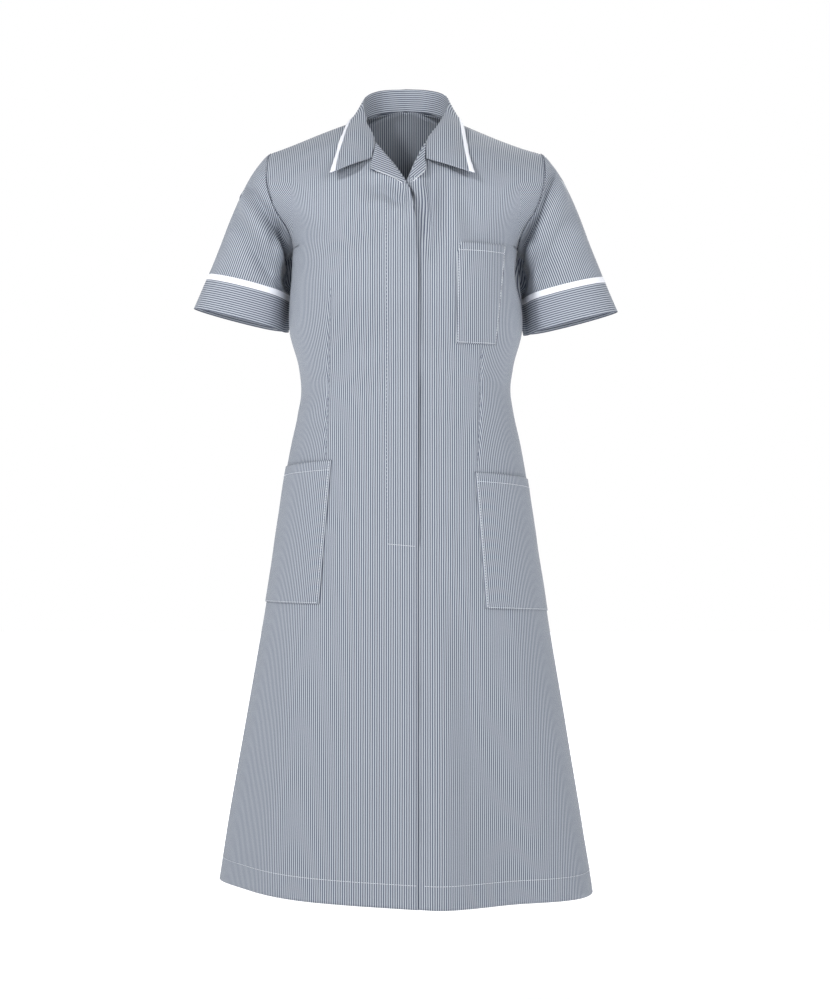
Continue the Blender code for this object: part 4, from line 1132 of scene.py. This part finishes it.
def collar_fall(side, mark, q):
    _, roll, edge = collar_station(mark)
    span = edge - roll
    away = np.array([roll[0] * 0.9, roll[1], 0.0])
    away = away / max(np.linalg.norm(away), 1e-6)
    rise = 1 - smooth(COLLAR_MARKS[1], COLLAR_MARKS[3], mark)
    up = np.array([0.0, 0.0, 1.0])
    bow = away * COLLAR_SPRING * rise + up * 0.003 * rise
    front = smooth(COLLAR_MARKS[3], COLLAR_MARKS[5], mark)
    bow = bow + np.array([0.0, -0.010, 0.004 - 0.0052 * smooth(COLLAR_MARKS[5], COLLAR_MARKS[7], mark)]) * front
    p = roll + span * q + bow * 4 * q * (1 - q) * (1 - 0.35 * q)
    return p * np.array([side, 1, 1])


def collar_stand(side, mark, q):
    seam, roll, _ = collar_station(mark)
    p = seam + (roll - seam) * q
    return p * np.array([side, 1, 1])


def body_cloud():
    places_, outs = [], []
    for s in (-1, 1):
        for i in range(27):
            for k in range(45):
                u, v = i / 26, -0.05 + k / 44 * 1.05
                for point in (front_point, back_point):
                    p = point(s, u, v)
                    du = point(s, min(u + 0.01, 1.0), v) - point(s, max(u - 0.01, 0.0), v)
                    dv = point(s, u, min(v + 0.01, 1.0)) - point(s, u, v - 0.01)
                    n = np.cross(du, dv)
                    size = np.linalg.norm(n)
                    if size < 1e-9:
                        continue
                    n = n / size
                    out = np.array([p[0], p[1], 0.06 + 0.5 * (p[2] + 0.05)])
                    if np.dot(n, out) < 0:
                        n = -n
                    places_.append(p)
                    outs.append(n)
    return np.array(places_), np.array(outs)


BODY_PLACES, BODY_OUTS = body_cloud()


def lifted(p, clear):
    for _ in range(2):
        far = np.linalg.norm(BODY_PLACES - p, axis=1)
        near = np.argpartition(far, 4)[:4]
        weights = 1 / (far[near] + 0.002)
        weights = weights / weights.sum()
        out = (BODY_OUTS[near] * weights[:, None]).sum(axis=0)
        out = out / np.linalg.norm(out)
        height = float((((p - BODY_PLACES[near]) @ out) * weights).sum())
        if height < clear:
            p = p + out * (clear - height)
    return p


COLLAR_FRONT_SPRING = 0.0055
STATIONS = 61
FALL_ROWS = 26
STAND_ROWS = 12
marks = [COLLAR_MARKS[-1] * (i / (STATIONS - 1)) for i in range(STATIONS)]
stand_end = max(k for k in range(STATIONS) if marks[k] <= COLLAR_MARKS[ROLL_START] + 1e-6)
marks[stand_end] = COLLAR_MARKS[ROLL_START]
columns = [(-1, k) for k in range(STATIONS - 1, 0, -1)] + [(1, k) for k in range(STATIONS)]
rows = []
across = []
for r in range(STAND_ROWS):
    rows.append([lean(collar_stand(s, marks[k], r / STAND_ROWS)) for s, k in columns])
for r in range(FALL_ROWS):
    q = r / (FALL_ROWS - 1)
    row = []
    for s, k in columns:
        ahead = smooth(COLLAR_MARKS[ROLL_START] - 0.004, COLLAR_MARKS[ROLL_START] + 0.010, marks[k])
        rest = COLLAR_REST * max(smooth(0.0, 0.3, q), ahead)
        placed = lifted(lean(collar_fall(s, marks[k], q)), rest)
        spring = COLLAR_FRONT_SPRING * smooth(COLLAR_MARKS[4], COLLAR_MARKS[7], marks[k]) * math.sin(math.pi * min(q * 1.15, 1.0) * 0.78)
        row.append(placed + np.array([0.0, -spring, 0.0]))
    rows.append(row)
collar_grid = np.array(rows)
# round the fold over the roll line
soft = collar_grid.copy()
for _ in range(2):
    for r in range(STAND_ROWS - 2, STAND_ROWS + 3):
        soft[r] = 0.25 * collar_grid[r - 1] + 0.5 * collar_grid[r] + 0.25 * collar_grid[r + 1]
    back_part = np.array([k <= stand_end - 2 for s, k in columns])
    collar_grid[:, back_part] = soft[:, back_part]


def collar_keep(r, c):
    if r >= STAND_ROWS:
        return True
    a, b = columns[c], columns[c + 1]
    return a[1] <= stand_end and b[1] <= stand_end


def used_only(points, faces, *others):
    order = np.unique(faces)
    new = -np.ones(len(points), int)
    new[order] = np.arange(len(order))
    return points[order], new[faces], [np.asarray(o)[order] for o in others]


steps = np.linalg.norm(np.diff(collar_grid, axis=0), axis=2)
across = np.concatenate([np.zeros((1, len(columns))), np.cumsum(steps, axis=0)])
across = across - across[STAND_ROWS][None]
length = np.linalg.norm(np.diff(collar_grid[STAND_ROWS], axis=0), axis=1)
length = np.concatenate([[0.0], np.cumsum(length)])
straight = np.array([smooth(COLLAR_MARKS[2] * 0.9, COLLAR_MARKS[4], marks[k]) for s, k in columns])
straight = straight[None] * np.linspace(0.0, 1.0, STAND_ROWS + 1)[np.minimum(np.arange(len(rows)), STAND_ROWS)][:, None]
level_across = (np.abs(collar_grid[..., 0]) - 0.0437) * 1.10
collar_across = across * (1 - straight) + level_across * straight
collar_uv = np.stack([collar_across, np.repeat(length[None], len(rows), axis=0)], axis=2).reshape(-1, 2)
faces = grid_faces(len(rows), len(columns), False, False, collar_keep)
points = collar_grid.reshape(-1, 3)
normals = vertex_normals(points, faces)
height = ripple(points, 31, 0.05, 0.0004)
inner_rows = np.repeat(np.arange(len(rows)) < STAND_ROWS, len(columns))
height = np.where(inner_rows, ripple(points, 32, 0.024, 0.0011), height)
points = points + normals * height[:, None]
points, faces, (collar_uv,) = used_only(points, faces, collar_uv)
shell("collar_cloth", points, faces, collar_uv, striped, ["collar"], thickness=0.0010)

# Tape on the collar's outer edge
collar_final = collar_grid
TAPE_ROWS = 5
tape_rows = []
fall = collar_final[STAND_ROWS:]
fall_normals = vertex_normals(fall.reshape(-1, 3), grid_faces(FALL_ROWS, len(columns))).reshape(fall.shape)
for t in range(TAPE_ROWS):
    line = []
    for c in range(len(columns)):
        run = chord_marks(fall[::-1, c])
        place = COLLAR_TAPE_WIDTH * (1 - t / (TAPE_ROWS - 1)) - 0.0002
        p = np.array([np.interp(max(place, 0.0), run, fall[::-1, c, k]) for k in range(3)])
        p = p + fall_normals[-3, c] * (0.0008 + 0.0002 * math.sin(math.pi * t / (TAPE_ROWS - 1)))
        if place < 0:
            p = p + (fall[-1, c] - fall[-2, c]) / np.linalg.norm(fall[-1, c] - fall[-2, c]) * 0.0006
        line.append(p)
    tape_rows.append(line)
tape_grid = np.array(tape_rows)
tape_uv = np.stack([np.repeat(np.linspace(0, COLLAR_TAPE_WIDTH, TAPE_ROWS)[:, None], len(columns), axis=1),
                    np.repeat(length[None], TAPE_ROWS, axis=0)], axis=2).reshape(-1, 2)
shell("collar_edge_tape", tape_grid.reshape(-1, 3), grid_faces(TAPE_ROWS, len(columns)), tape_uv, tape_white,
      ["collar_tape"], 0.0009)


# Lapels
def reflected(x, z, fold):
    """Flat cloth place of a turned-back point: its mirror across the fold line."""
    a = np.array(fold[0])
    b = np.array(fold[-1])
    d = (b - a) / np.linalg.norm(b - a)
    w = np.array([x, z]) - a
    along_ = d * (w @ d)
    return a + 2 * along_ - w


def lapel(side, name, node_name, fold, edge):
    fold_marks = chord_marks(fold)
    edge_marks = chord_marks(edge)
    rows_down, across_ = 40, 18
    points, uv = [], []
    guess = (0.02, 0.86)
    for r in range(rows_down):
        p = r / (rows_down - 1)
        a = spline(fold_marks, fold, p * fold_marks[-1])
        b = spline(edge_marks, edge, p * edge_marks[-1])
        for c in range(across_):
            q = c / (across_ - 1)
            x, z = a + (b - a) * q
            base, u, v = front_at(side, x, z)
            lift = 0.0019 + LAPEL_LIFT * q * (1.2 - 0.7 * p) + 0.0012 * math.sin(math.pi * q) * (1 - q)
            points.append(base + np.array([0.0, -lift, 0.0]))
            uv.append(reflected(x, z, fold) * np.array([side, 1]))
    points = np.array(points)
    faces = grid_faces(rows_down, across_, False, side > 0)
    shell(name, points, faces, uv, striped, [node_name], thickness=0.0010)
    return points.reshape(rows_down, across_, 3)


lapel_right_grid = lapel(-1, "lapel_right_facing", "lapel_right", LAPEL_RIGHT_FOLD, LAPEL_RIGHT_EDGE)
lapel_left_grid = lapel(1, "lapel_left_facing", "lapel_left", LAPEL_LEFT_FOLD, LAPEL_LEFT_EDGE)


# Pockets
def patch(side, name, node_name, inner_x, outer_x, tops, lows, rows_down, across_, lift_top, belly, grain_turn=0.0):
    points, uv, normals = [], [], []
    width = 0.0
    for r in range(rows_down):
        q = r / (rows_down - 1)
        line = []
        for c in range(across_):
            p = c / (across_ - 1)
            top = tops[0] + (tops[1] - tops[0]) * p
            low = lows[0] + (lows[1] - lows[0]) * p
            z = top + (low - top) * q
            x_in = inner_x[0] + (inner_x[1] - inner_x[0]) * q
            if c == 0:
                _, u_in, v_in = front_at(side, x_in, z)
                if outer_x is None:
                    u_out = 0.992
                else:
                    x_out = outer_x[0] + (outer_x[1] - outer_x[0]) * q
                    _, u_out, _ = front_at(side, x_out, tops[1] + (lows[1] - tops[1]) * q)
            v = (z - UNDERARM_Z) / (UNDERARM_Z - HEM_Z)
            u = u_in + (u_out - u_in) * p
            base = front_point(side, u, v)
            out = surface_normal(lambda a, b: front_point(side, a, b), u, v)
            middle = math.sin(math.pi * p)
            bulge = belly * middle * (0.4 + 0.6 * math.sin(math.pi * min(q * 1.1, 1.0)))
            mouth = lift_top * middle * (1 - q) ** 5
            line.append(base + out * (0.0016 + (bulge + mouth) * smooth(0.0, 0.15, 1 - q)))
        line = np.array(line)
        s = across_length(line, 0.0011) + grain_turn * (line[:, 2] - tops[0])
        points.append(line)
        uv.append(np.stack([s * side, line[:, 2]], axis=1))
    grid = np.array(points)
    flat = grid.reshape(-1, 3)
    faces = grid_faces(rows_down, across_, False, side > 0)
    outward = vertex_normals(flat, faces)
    flat = flat + outward * (ripple(flat, 41 + side, 0.06, 0.0004))[:, None]
    shell(name, flat, faces, np.concatenate(uv), striped, [node_name], thickness=0.0010)
    return flat.reshape(grid.shape), outward.reshape(grid.shape)


r = HIP_POCKET_RIGHT
hip_right = patch(-1, "pocket_hip_right_cloth", "pocket_hip_right", r[0:2], None, r[2:4], r[4:6], 60, 44, 0.0016, 0.0012)
r = HIP_POCKET_LEFT
hip_left = patch(1, "pocket_hip_left_cloth", "pocket_hip_left", r[0:2], None, r[2:4], r[4:6], 60, 44, 0.0018, 0.0014)
breast = patch(1, "pocket_breast_cloth", "pocket_breast", BREAST_POCKET_INNER, BREAST_POCKET_OUTER,
               (BREAST_POCKET_TOP,) * 2, (BREAST_POCKET_BOTTOM,) * 2, 44, 24, 0.0006, 0.0008, 0.030)


# Stitching
def stitch_row(lines, name, material, length=0.0026, gap=0.0009, radius=0.00032, proud=0.0003):
    """One mesh of short threads lying on polylines, each line given as points with outward directions."""
    verts, faces, uv = [], [], []
    for pts, outs in lines:
        pts = np.asarray(pts, float)
        outs = np.asarray(outs, float)
        marks_ = chord_marks(pts)
        place = gap
        while place + length < marks_[-1]:
            ends = []
            for t in (0.0, 0.5, 1.0):
                at = place + length * t
                p = np.array([np.interp(at, marks_, pts[:, k]) for k in range(3)])
                o = np.array([np.interp(at, marks_, outs[:, k]) for k in range(3)])
                o = o / np.linalg.norm(o)
                rise = proud + (0.00018 if t == 0.5 else -0.00012)
                ends.append((p + o * rise, o))
            along_ = ends[2][0] - ends[0][0]
            along_ = along_ / np.linalg.norm(along_)
            base = len(verts)
            for k, (p, o) in enumerate(ends):
                sidewise = np.cross(along_, o)
                r_ = radius * (1.0 if k == 1 else 0.7)
                for a in range(5):
                    ang = 2 * math.pi * a / 5
                    verts.append(p + (sidewise * math.cos(ang) + o * math.sin(ang)) * r_)
                    uv.append((place + length * k / 2, a * 0.0003))
            for k in range(2):
                for a in range(5):
                    b = (a + 1) % 5
                    faces.append((base + k * 5 + a, base + k * 5 + b, base + (k + 1) * 5 + b, base + (k + 1) * 5 + a))
            place += length + gap
    mesh = bpy.data.meshes.new(name)
    mesh.from_pydata([tuple(map(float, v)) for v in verts], [], faces)
    mesh.update()
    layer = mesh.uv_layers.new(name="Cloth")
    corner = np.array(faces).reshape(-1)
    layer.data.foreach_set("uv", np.array(uv, np.float32)[corner].ravel())
    mesh.shade_smooth()
    made = bpy.data.objects.new(name, mesh)
    HOME.objects.link(made)
    mesh.materials.append(material)
    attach(made, "root")
    return made


def bilinear(grid, a, b):
    """Point of a grid at shares down and across."""
    n, m = grid.shape[0] - 1, grid.shape[1] - 1
    fa, fb = min(max(a, 0), 1) * n, min(max(b, 0), 1) * m
    i, j = min(int(fa), n - 1), min(int(fb), m - 1)
    da, db = fa - i, fb - j
    top = grid[i, j] * (1 - db) + grid[i, j + 1] * db
    low = grid[i + 1, j] * (1 - db) + grid[i + 1, j + 1] * db
    return top * (1 - da) + low * da


def grid_line(pair, path, count=60):
    """Polyline with outward directions along a path of (down, across) shares on a patch."""
    grid, outs = pair
    pts, dirs = [], []
    for (a0, b0), (a1, b1) in zip(path[:-1], path[1:]):
        for t in np.linspace(0, 1, count, endpoint=False):
            a, b = a0 + (a1 - a0) * t, b0 + (b1 - b0) * t
            pts.append(bilinear(grid, a, b))
            dirs.append(bilinear(outs, a, b))
    a, b = path[-1]
    pts.append(bilinear(grid, a, b))
    dirs.append(bilinear(outs, a, b))
    return pts, dirs


pocket_lines = []
for pair, hem_share, inset_across, inset_down in (
    (hip_right, 0.068, 0.022, 0.010),
    (hip_left, 0.068, 0.022, 0.010),
    (breast, 0.085, 0.030, 0.016),
):
    pocket_lines.append(grid_line(pair, [(hem_share, 0.01), (hem_share, 0.99)]))
    pocket_lines.append(grid_line(pair, [(0.004, inset_across), (1 - inset_down, inset_across)]))
    pocket_lines.append(grid_line(pair, [(1 - inset_down, inset_across), (1 - inset_down, 0.985)]))
pocket_lines.append(grid_line(breast, [(0.004, 0.97), (1 - 0.016, 0.97)]))
stitch_row(pocket_lines, "pocket_stitching", thread_white)


def front_line(side, pairs, count=40, lift=0.0):
    """Polyline on a front shell through (outward x, z) pairs."""
    points_, rows_ = front_shells[side]
    grid = points_.reshape(len(rows_), FRONT_COLUMNS, 3)
    pts, dirs = [], []
    last = None
    for (x0, z0), (x1, z1) in zip(pairs[:-1], pairs[1:]):
        for t in np.linspace(0, 1, count):
            x, z = x0 + (x1 - x0) * t, z0 + (z1 - z0) * t
            _, u, v = front_at(side, x, z, last or (0.4, 0.5))
            last = (u, v)
            out = surface_normal(lambda a, b: front_point(side, a, b), min(max(u, 0.01), 0.99), v)
            r_share = np.interp(v, rows_, np.arange(len(rows_))) / (len(rows_) - 1)
            p = bilinear(grid, r_share, u)
            pts.append(p + out * lift)
            dirs.append(out)
    return pts, dirs


# Fly stitching, its end bar, and the hem stitching all round
FLY_X = 0.0255
fly_lines = [
    front_line(-1, [(FLY_X, -0.108), (FLY_X - 0.002, -0.30), (FLY_X, -0.40), (FLY_X - 0.003, FLY_BAR_Z)], 50),
    front_line(-1, [(FLY_X - 0.002, FLY_BAR_Z), (-0.0155, FLY_BAR_Z - 0.0035)], 30),
]
stitch_row(fly_lines[:1], "fly_stitching", thread_white, 0.0022, 0.0030, 0.00017, 0.00003)
stitch_row(fly_lines[1:], "fly_end_bar", thread_white, 0.0028, 0.0005, 0.00030)

# Dart seams: a fine dark broken line where the stripes meet
dart_lines = []
for side in (-1, 1):
    top, middle, foot, _ = DARTS[side]
    places_down = [top[1] - 0.004 - (top[1] - foot[1] - 0.008) * k / 5 for k in range(6)]
    dart_lines.append(front_line(side, [(dart_line(side, z) * side, z) for z in places_down], 14, -0.0001))
stitch_row(dart_lines, "dart_seams", thread_navy, 0.0052, 0.0030, 0.00026, 0.0)

HEM_RISE = 0.030


def hem_line(side):
    """The hem stitching of the back, on the shell itself."""
    points_, index_, rows_ = back_shell
    v = -1 + HEM_RISE / (UNDERARM_Z - HEM_Z)
    place = float(np.interp(v, rows_, np.arange(len(rows_))))
    low = int(place)
    pts, dirs = [], []
    for c in range(BACK_COLUMNS):
        a, b = points_[index_[(low, side, c)]], points_[index_[(low + 1, side, c)]]
        pts.append(a + (b - a) * (place - low))
        u = min(max(c / (BACK_COLUMNS - 1), 0.01), 0.99)
        dirs.append(surface_normal(lambda p, q: back_point(side, p, q), u, v))
    return pts, dirs


hem_lines = []
for side in (-1, 1):
    points_, rows_ = front_shells[side]
    grid = points_.reshape(len(rows_), FRONT_COLUMNS, 3)
    v = -1 + HEM_RISE / (UNDERARM_Z - HEM_Z)
    share = np.interp(v, rows_, np.arange(len(rows_))) / (len(rows_) - 1)
    pts, dirs = [], []
    for i in range(160):
        u = (0.004 if side < 0 else 0.06) + (0.992 if side < 0 else 0.936) * i / 159
        pts.append(bilinear(grid, share, u))
        dirs.append(surface_normal(lambda a, b: front_point(side, a, b), u, v))
    hem_lines.append((pts, dirs))
    hem_lines.append(hem_line(side))
stitch_row(hem_lines, "hem_stitching", thread_white, 0.0030, 0.0010, 0.00032, 0.0003)

# Thin white edge on the lapels' lower sides: a painted highlight where the rolled edge of the fold catches the light
edge_lines = []
for grid, side in ((lapel_right_grid, -1), (lapel_left_grid, 1)):
    pts = grid[12:, -1]
    outs = np.tile(np.array([0.0, -1.0, -0.4]), (len(pts), 1))
    edge_lines.append((pts, outs))
stitch_row(edge_lines, "lapel_edge_painted_highlight", tape_white, 0.0040, 0.0, 0.00036, 0.0)

# Armhole seams: dark thread just inside the seam
arm_lines = []
for side in (-1, 1):
    for half in (0, 1):
        pts, dirs = [], []
        for i in range(90):
            share = i / 89
            if half == 0:
                v = 1 - share
                p = front_point(side, 0.985, v)
                n = surface_normal(lambda a, b: front_point(side, a, b), 0.985, min(max(v, 0.01), 0.99))
            else:
                v = share
                p = back_point(side, 0.985, v)
                n = surface_normal(lambda a, b: back_point(side, a, b), 0.985, min(max(v, 0.01), 0.99))
            pts.append(p)
            dirs.append(n)
        arm_lines.append((pts, dirs))
stitch_row(arm_lines, "armhole_stitching", thread_navy, 0.0022, 0.0020, 0.00036, 0.0001)

# Floor and studio light
floor_mesh = bpy.data.meshes.new("floor")
FLOOR = 9.0
FLOOR_Z = -1.30
floor_mesh.from_pydata([(-FLOOR, -FLOOR, 0), (FLOOR, -FLOOR, 0), (FLOOR, FLOOR, 0), (-FLOOR, FLOOR, 0)], [], [(0, 1, 2, 3)])
floor = bpy.data.objects.new("floor", floor_mesh)
floor.location = (0, 0, FLOOR_Z)
HOME.objects.link(floor)
floor_look = bpy.data.materials.new("pale floor")
floor_look.use_nodes = True
floor_tree = floor_look.node_tree
floor_shader = floor_tree.nodes["Principled BSDF"]
floor_shader.inputs["Base Color"].default_value = (0.90, 0.90, 0.91, 1)
floor_shader.inputs["Roughness"].default_value = 0.9
floor_shader.inputs["Specular IOR Level"].default_value = 0.0
# the floor glows: painted light, faint near the dress and rising to full white further off, so the floor fades into the
# white studio
floor_shader.inputs["Emission Color"].default_value = (1, 1, 1, 1)
floor_place = node(floor_tree, "ShaderNodeTexCoord", -900, 0)
floor_far = node(floor_tree, "ShaderNodeVectorMath", -700, 0, operation="LENGTH")
floor_tree.links.new(floor_place.outputs["Object"], floor_far.inputs[0])
floor_fade = node(floor_tree, "ShaderNodeMapRange", -500, 0, interpolation_type="SMOOTHSTEP")
floor_fade.inputs["From Min"].default_value = 0.9
floor_fade.inputs["From Max"].default_value = 3.4
floor_fade.inputs["To Min"].default_value = 0.35
floor_fade.inputs["To Max"].default_value = 1.0
floor_tree.links.new(floor_far.outputs["Value"], floor_fade.inputs["Value"])
floor_tree.links.new(floor_fade.outputs["Result"], floor_shader.inputs["Emission Strength"])
floor_mesh.materials.append(floor_look)

# The studio is white at eye level all round and dimmer above and below
world = bpy.data.worlds.new("studio")
bpy.context.scene.world = world
world.use_nodes = True
sky = world.node_tree
background = sky.nodes["Background"]
heading = node(sky, "ShaderNodeTexCoord", -900, 0)
parts = node(sky, "ShaderNodeSeparateXYZ", -700, 0)
sky.links.new(heading.outputs["Generated"], parts.inputs[0])
height_of = math_node(sky, "ABSOLUTE", parts.outputs[2], 0.0, -500, 0)
fade = node(sky, "ShaderNodeMapRange", -300, 0, interpolation_type="SMOOTHSTEP")
fade.inputs["From Min"].default_value = 0.28
fade.inputs["From Max"].default_value = 0.40
fade.inputs["To Min"].default_value = 1.0
fade.inputs["To Max"].default_value = 0.22
sky.links.new(height_of, fade.inputs["Value"])
sky.links.new(fade.outputs["Result"], background.inputs[1])
background.inputs[0].default_value = (1.0, 1.0, 1.0, 1.0)


def area_light(name, place, aim, size, power):
    data = bpy.data.lights.new(name, "AREA")
    data.shape = "DISK"
    data.size = size
    data.energy = power
    lamp = bpy.data.objects.new(name, data)
    lamp.location = place
    lamp.rotation_mode = "QUATERNION"
    lamp.rotation_quaternion = (Vector(aim) - Vector(place)).to_track_quat("-Z", "Y")
    HOME.objects.link(lamp)


area_light("key", (-1.7, -2.1, 1.5), (0, 0, -0.35), 0.6, 57)
area_light("fill", (1.7, -2.3, 1.1), (0, 0, -0.3), 1.3, 31)
area_light("back light", (0.8, 2.8, 1.6), (0, 0, -0.4), 1.6, 60)

camera_data = bpy.data.cameras.new("camera")
camera_data.sensor_width = 36.0
camera_data.sensor_fit = "AUTO"
camera_data.lens = 36.0 * CAMERA_DISTANCE / (SCALE * PICTURE_LONG)
camera = bpy.data.objects.new("camera", camera_data)
camera.location = (CAMERA_X, -CAMERA_DISTANCE, CAMERA_Z)
camera.rotation_euler = (math.radians(90), 0, 0)
HOME.objects.link(camera)
bpy.context.scene.camera = camera
bpy.context.scene.view_settings.view_transform = "Standard"

# What each sheet of cloth was cut to: its width and length, and how it is held
SHEETS = (
    ("front_right_cloth", 0.345, 1.115, "hung"),
    ("front_left_cloth", 0.345, 1.115, "hung"),
    ("back_cloth", 0.640, 1.120, "hung"),
    ("sleeve_right_cloth", 0.385, 0.195, "hung"),
    ("sleeve_left_cloth", 0.385, 0.195, "hung"),
    ("cuff_right_cloth", 0.335, 0.045, "hung"),
    ("cuff_left_cloth", 0.335, 0.045, "hung"),
    ("cuff_band_right_tape", 0.340, 0.010, "hung"),
    ("cuff_band_left_tape", 0.340, 0.010, "hung"),
    ("collar_cloth", 0.450, 0.085, "folded"),
    ("collar_edge_tape", 0.480, 0.010, "folded"),
    ("lapel_right_facing", 0.050, 0.080, "folded"),
    ("lapel_left_facing", 0.030, 0.075, "folded"),
    ("pocket_breast_cloth", 0.070, 0.135, "hung"),
    ("pocket_hip_right_cloth", 0.155, 0.190, "hung"),
    ("pocket_hip_left_cloth", 0.155, 0.190, "hung"),
)


def cloth_area(name):
    mesh = bpy.data.objects[name].data
    return sum(face.area for face in mesh.polygons)


for sheet_name, width, length_, held in SHEETS:
    share = cloth_area(sheet_name) / (width * length_)
    print("SHEET", sheet_name, round(cloth_area(sheet_name), 5), round(share, 3))
